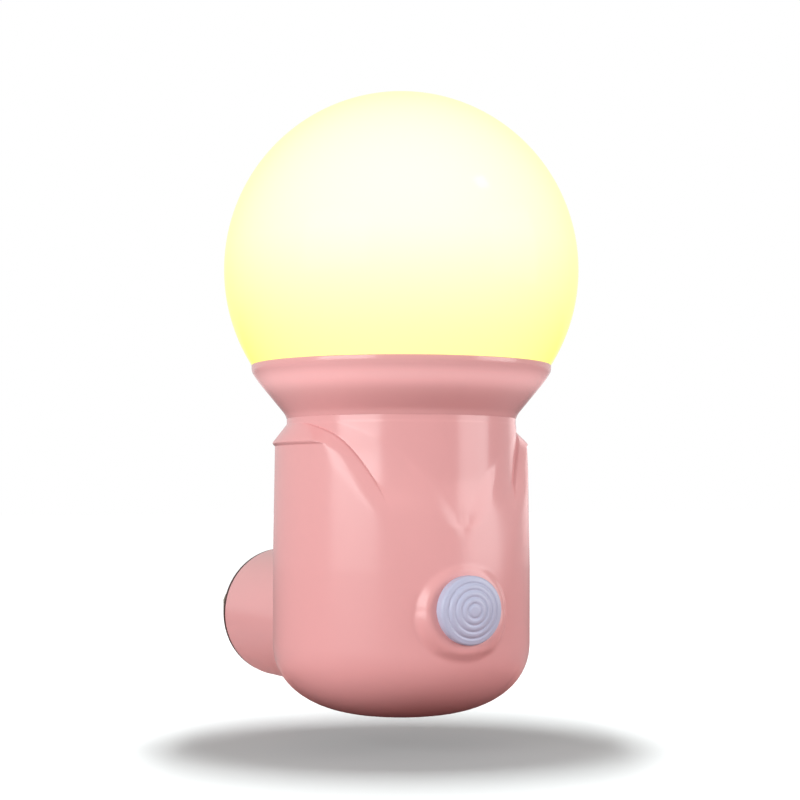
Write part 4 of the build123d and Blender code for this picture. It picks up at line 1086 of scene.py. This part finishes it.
world = bpy.data.worlds.new("studio")
world.use_nodes = True
bpy.context.scene.world = world
world_add = world.node_tree.nodes.new
world_link = world.node_tree.links.new
backdrop = world.node_tree.nodes["Background"]
backdrop_level = map_range(world_add, 0, 1, 0.34, 1)
world_link(sight(world_add, world_link, 0.55), backdrop_level.inputs["Value"])
world_link(backdrop_level.outputs["Result"], backdrop.inputs["Strength"])
backdrop.inputs["Color"].default_value = (1, 1, 1, 1)


def soft_lamp(name, azimuth, distance, low, high, width, watts, aim_height, colour=(1, 1, 1)):
    """An upright area lamp at an azimuth round the lamp's axis, between two heights, facing the axis."""
    data = bpy.data.lights.new(name, "AREA")
    data.shape = "RECTANGLE"
    data.size = width
    data.size_y = high - low
    data.energy = watts
    data.color = colour
    lamp = bpy.data.objects.new(name, data)
    turn = math.radians(azimuth)
    height = (low + high) / 2
    lamp.location = (distance * math.sin(turn), LAMP_AXIS_Y - distance * math.cos(turn), height)
    aim = Vector((0, LAMP_AXIS_Y, aim_height)) - lamp.location
    lamp.rotation_euler = aim.to_track_quat("-Z", "Y").to_euler()
    bpy.context.scene.collection.objects.link(lamp)
    return lamp


def light_only(lamp, receiver, blockers=()):
    """Keeps a lamp's light to one object, and its shadows to some others."""
    lit = bpy.data.collections.new(lamp.name + "_lit")
    lit.objects.link(receiver)
    lamp.light_linking.receiver_collection = lit
    if blockers:
        shade = bpy.data.collections.new(lamp.name + "_shade")
        for blocker in blockers:
            shade.objects.link(blocker)
        lamp.light_linking.blocker_collection = shade


soft_lamp("key_left", azimuth=-70, distance=0.8, low=0.03, high=0.53, width=0.63, watts=6.7, aim_height=0.28)
soft_lamp(
    "strip_right", azimuth=47.7, distance=0.8, low=0.0, high=0.50, width=0.52, watts=4.3, aim_height=0.25,
    colour=(1, 0.95, 0.95),
)
rim_right = soft_lamp(
    "rim_right", azimuth=120, distance=0.8, low=0.0, high=0.50, width=0.35, watts=0.5, aim_height=0.25,
    colour=(1, 0.7, 0.7),
)
spark = soft_lamp(
    "spark", azimuth=39.2, distance=0.708, low=0.719, high=0.829, width=0.13, watts=1.9, aim_height=0.068
)
light_only(rim_right, cup)
light_only(spark, globe)

overhead_data = bpy.data.lights.new("overhead", "AREA")
overhead_data.shape = "RECTANGLE"
overhead_data.size = 0.036
overhead_data.size_y = 0.095
overhead_data.energy = 3.5
overhead = bpy.data.objects.new("overhead", overhead_data)
overhead.location = (0, LAMP_AXIS_Y, 0.254)
overhead.rotation_euler = (0, 0, camera_azimuth)
overhead.visible_camera = False
overhead.visible_glossy = False
bpy.context.scene.collection.objects.link(overhead)
light_only(overhead, floor, (globe, cup))

bpy.context.scene.view_settings.view_transform = "Standard"
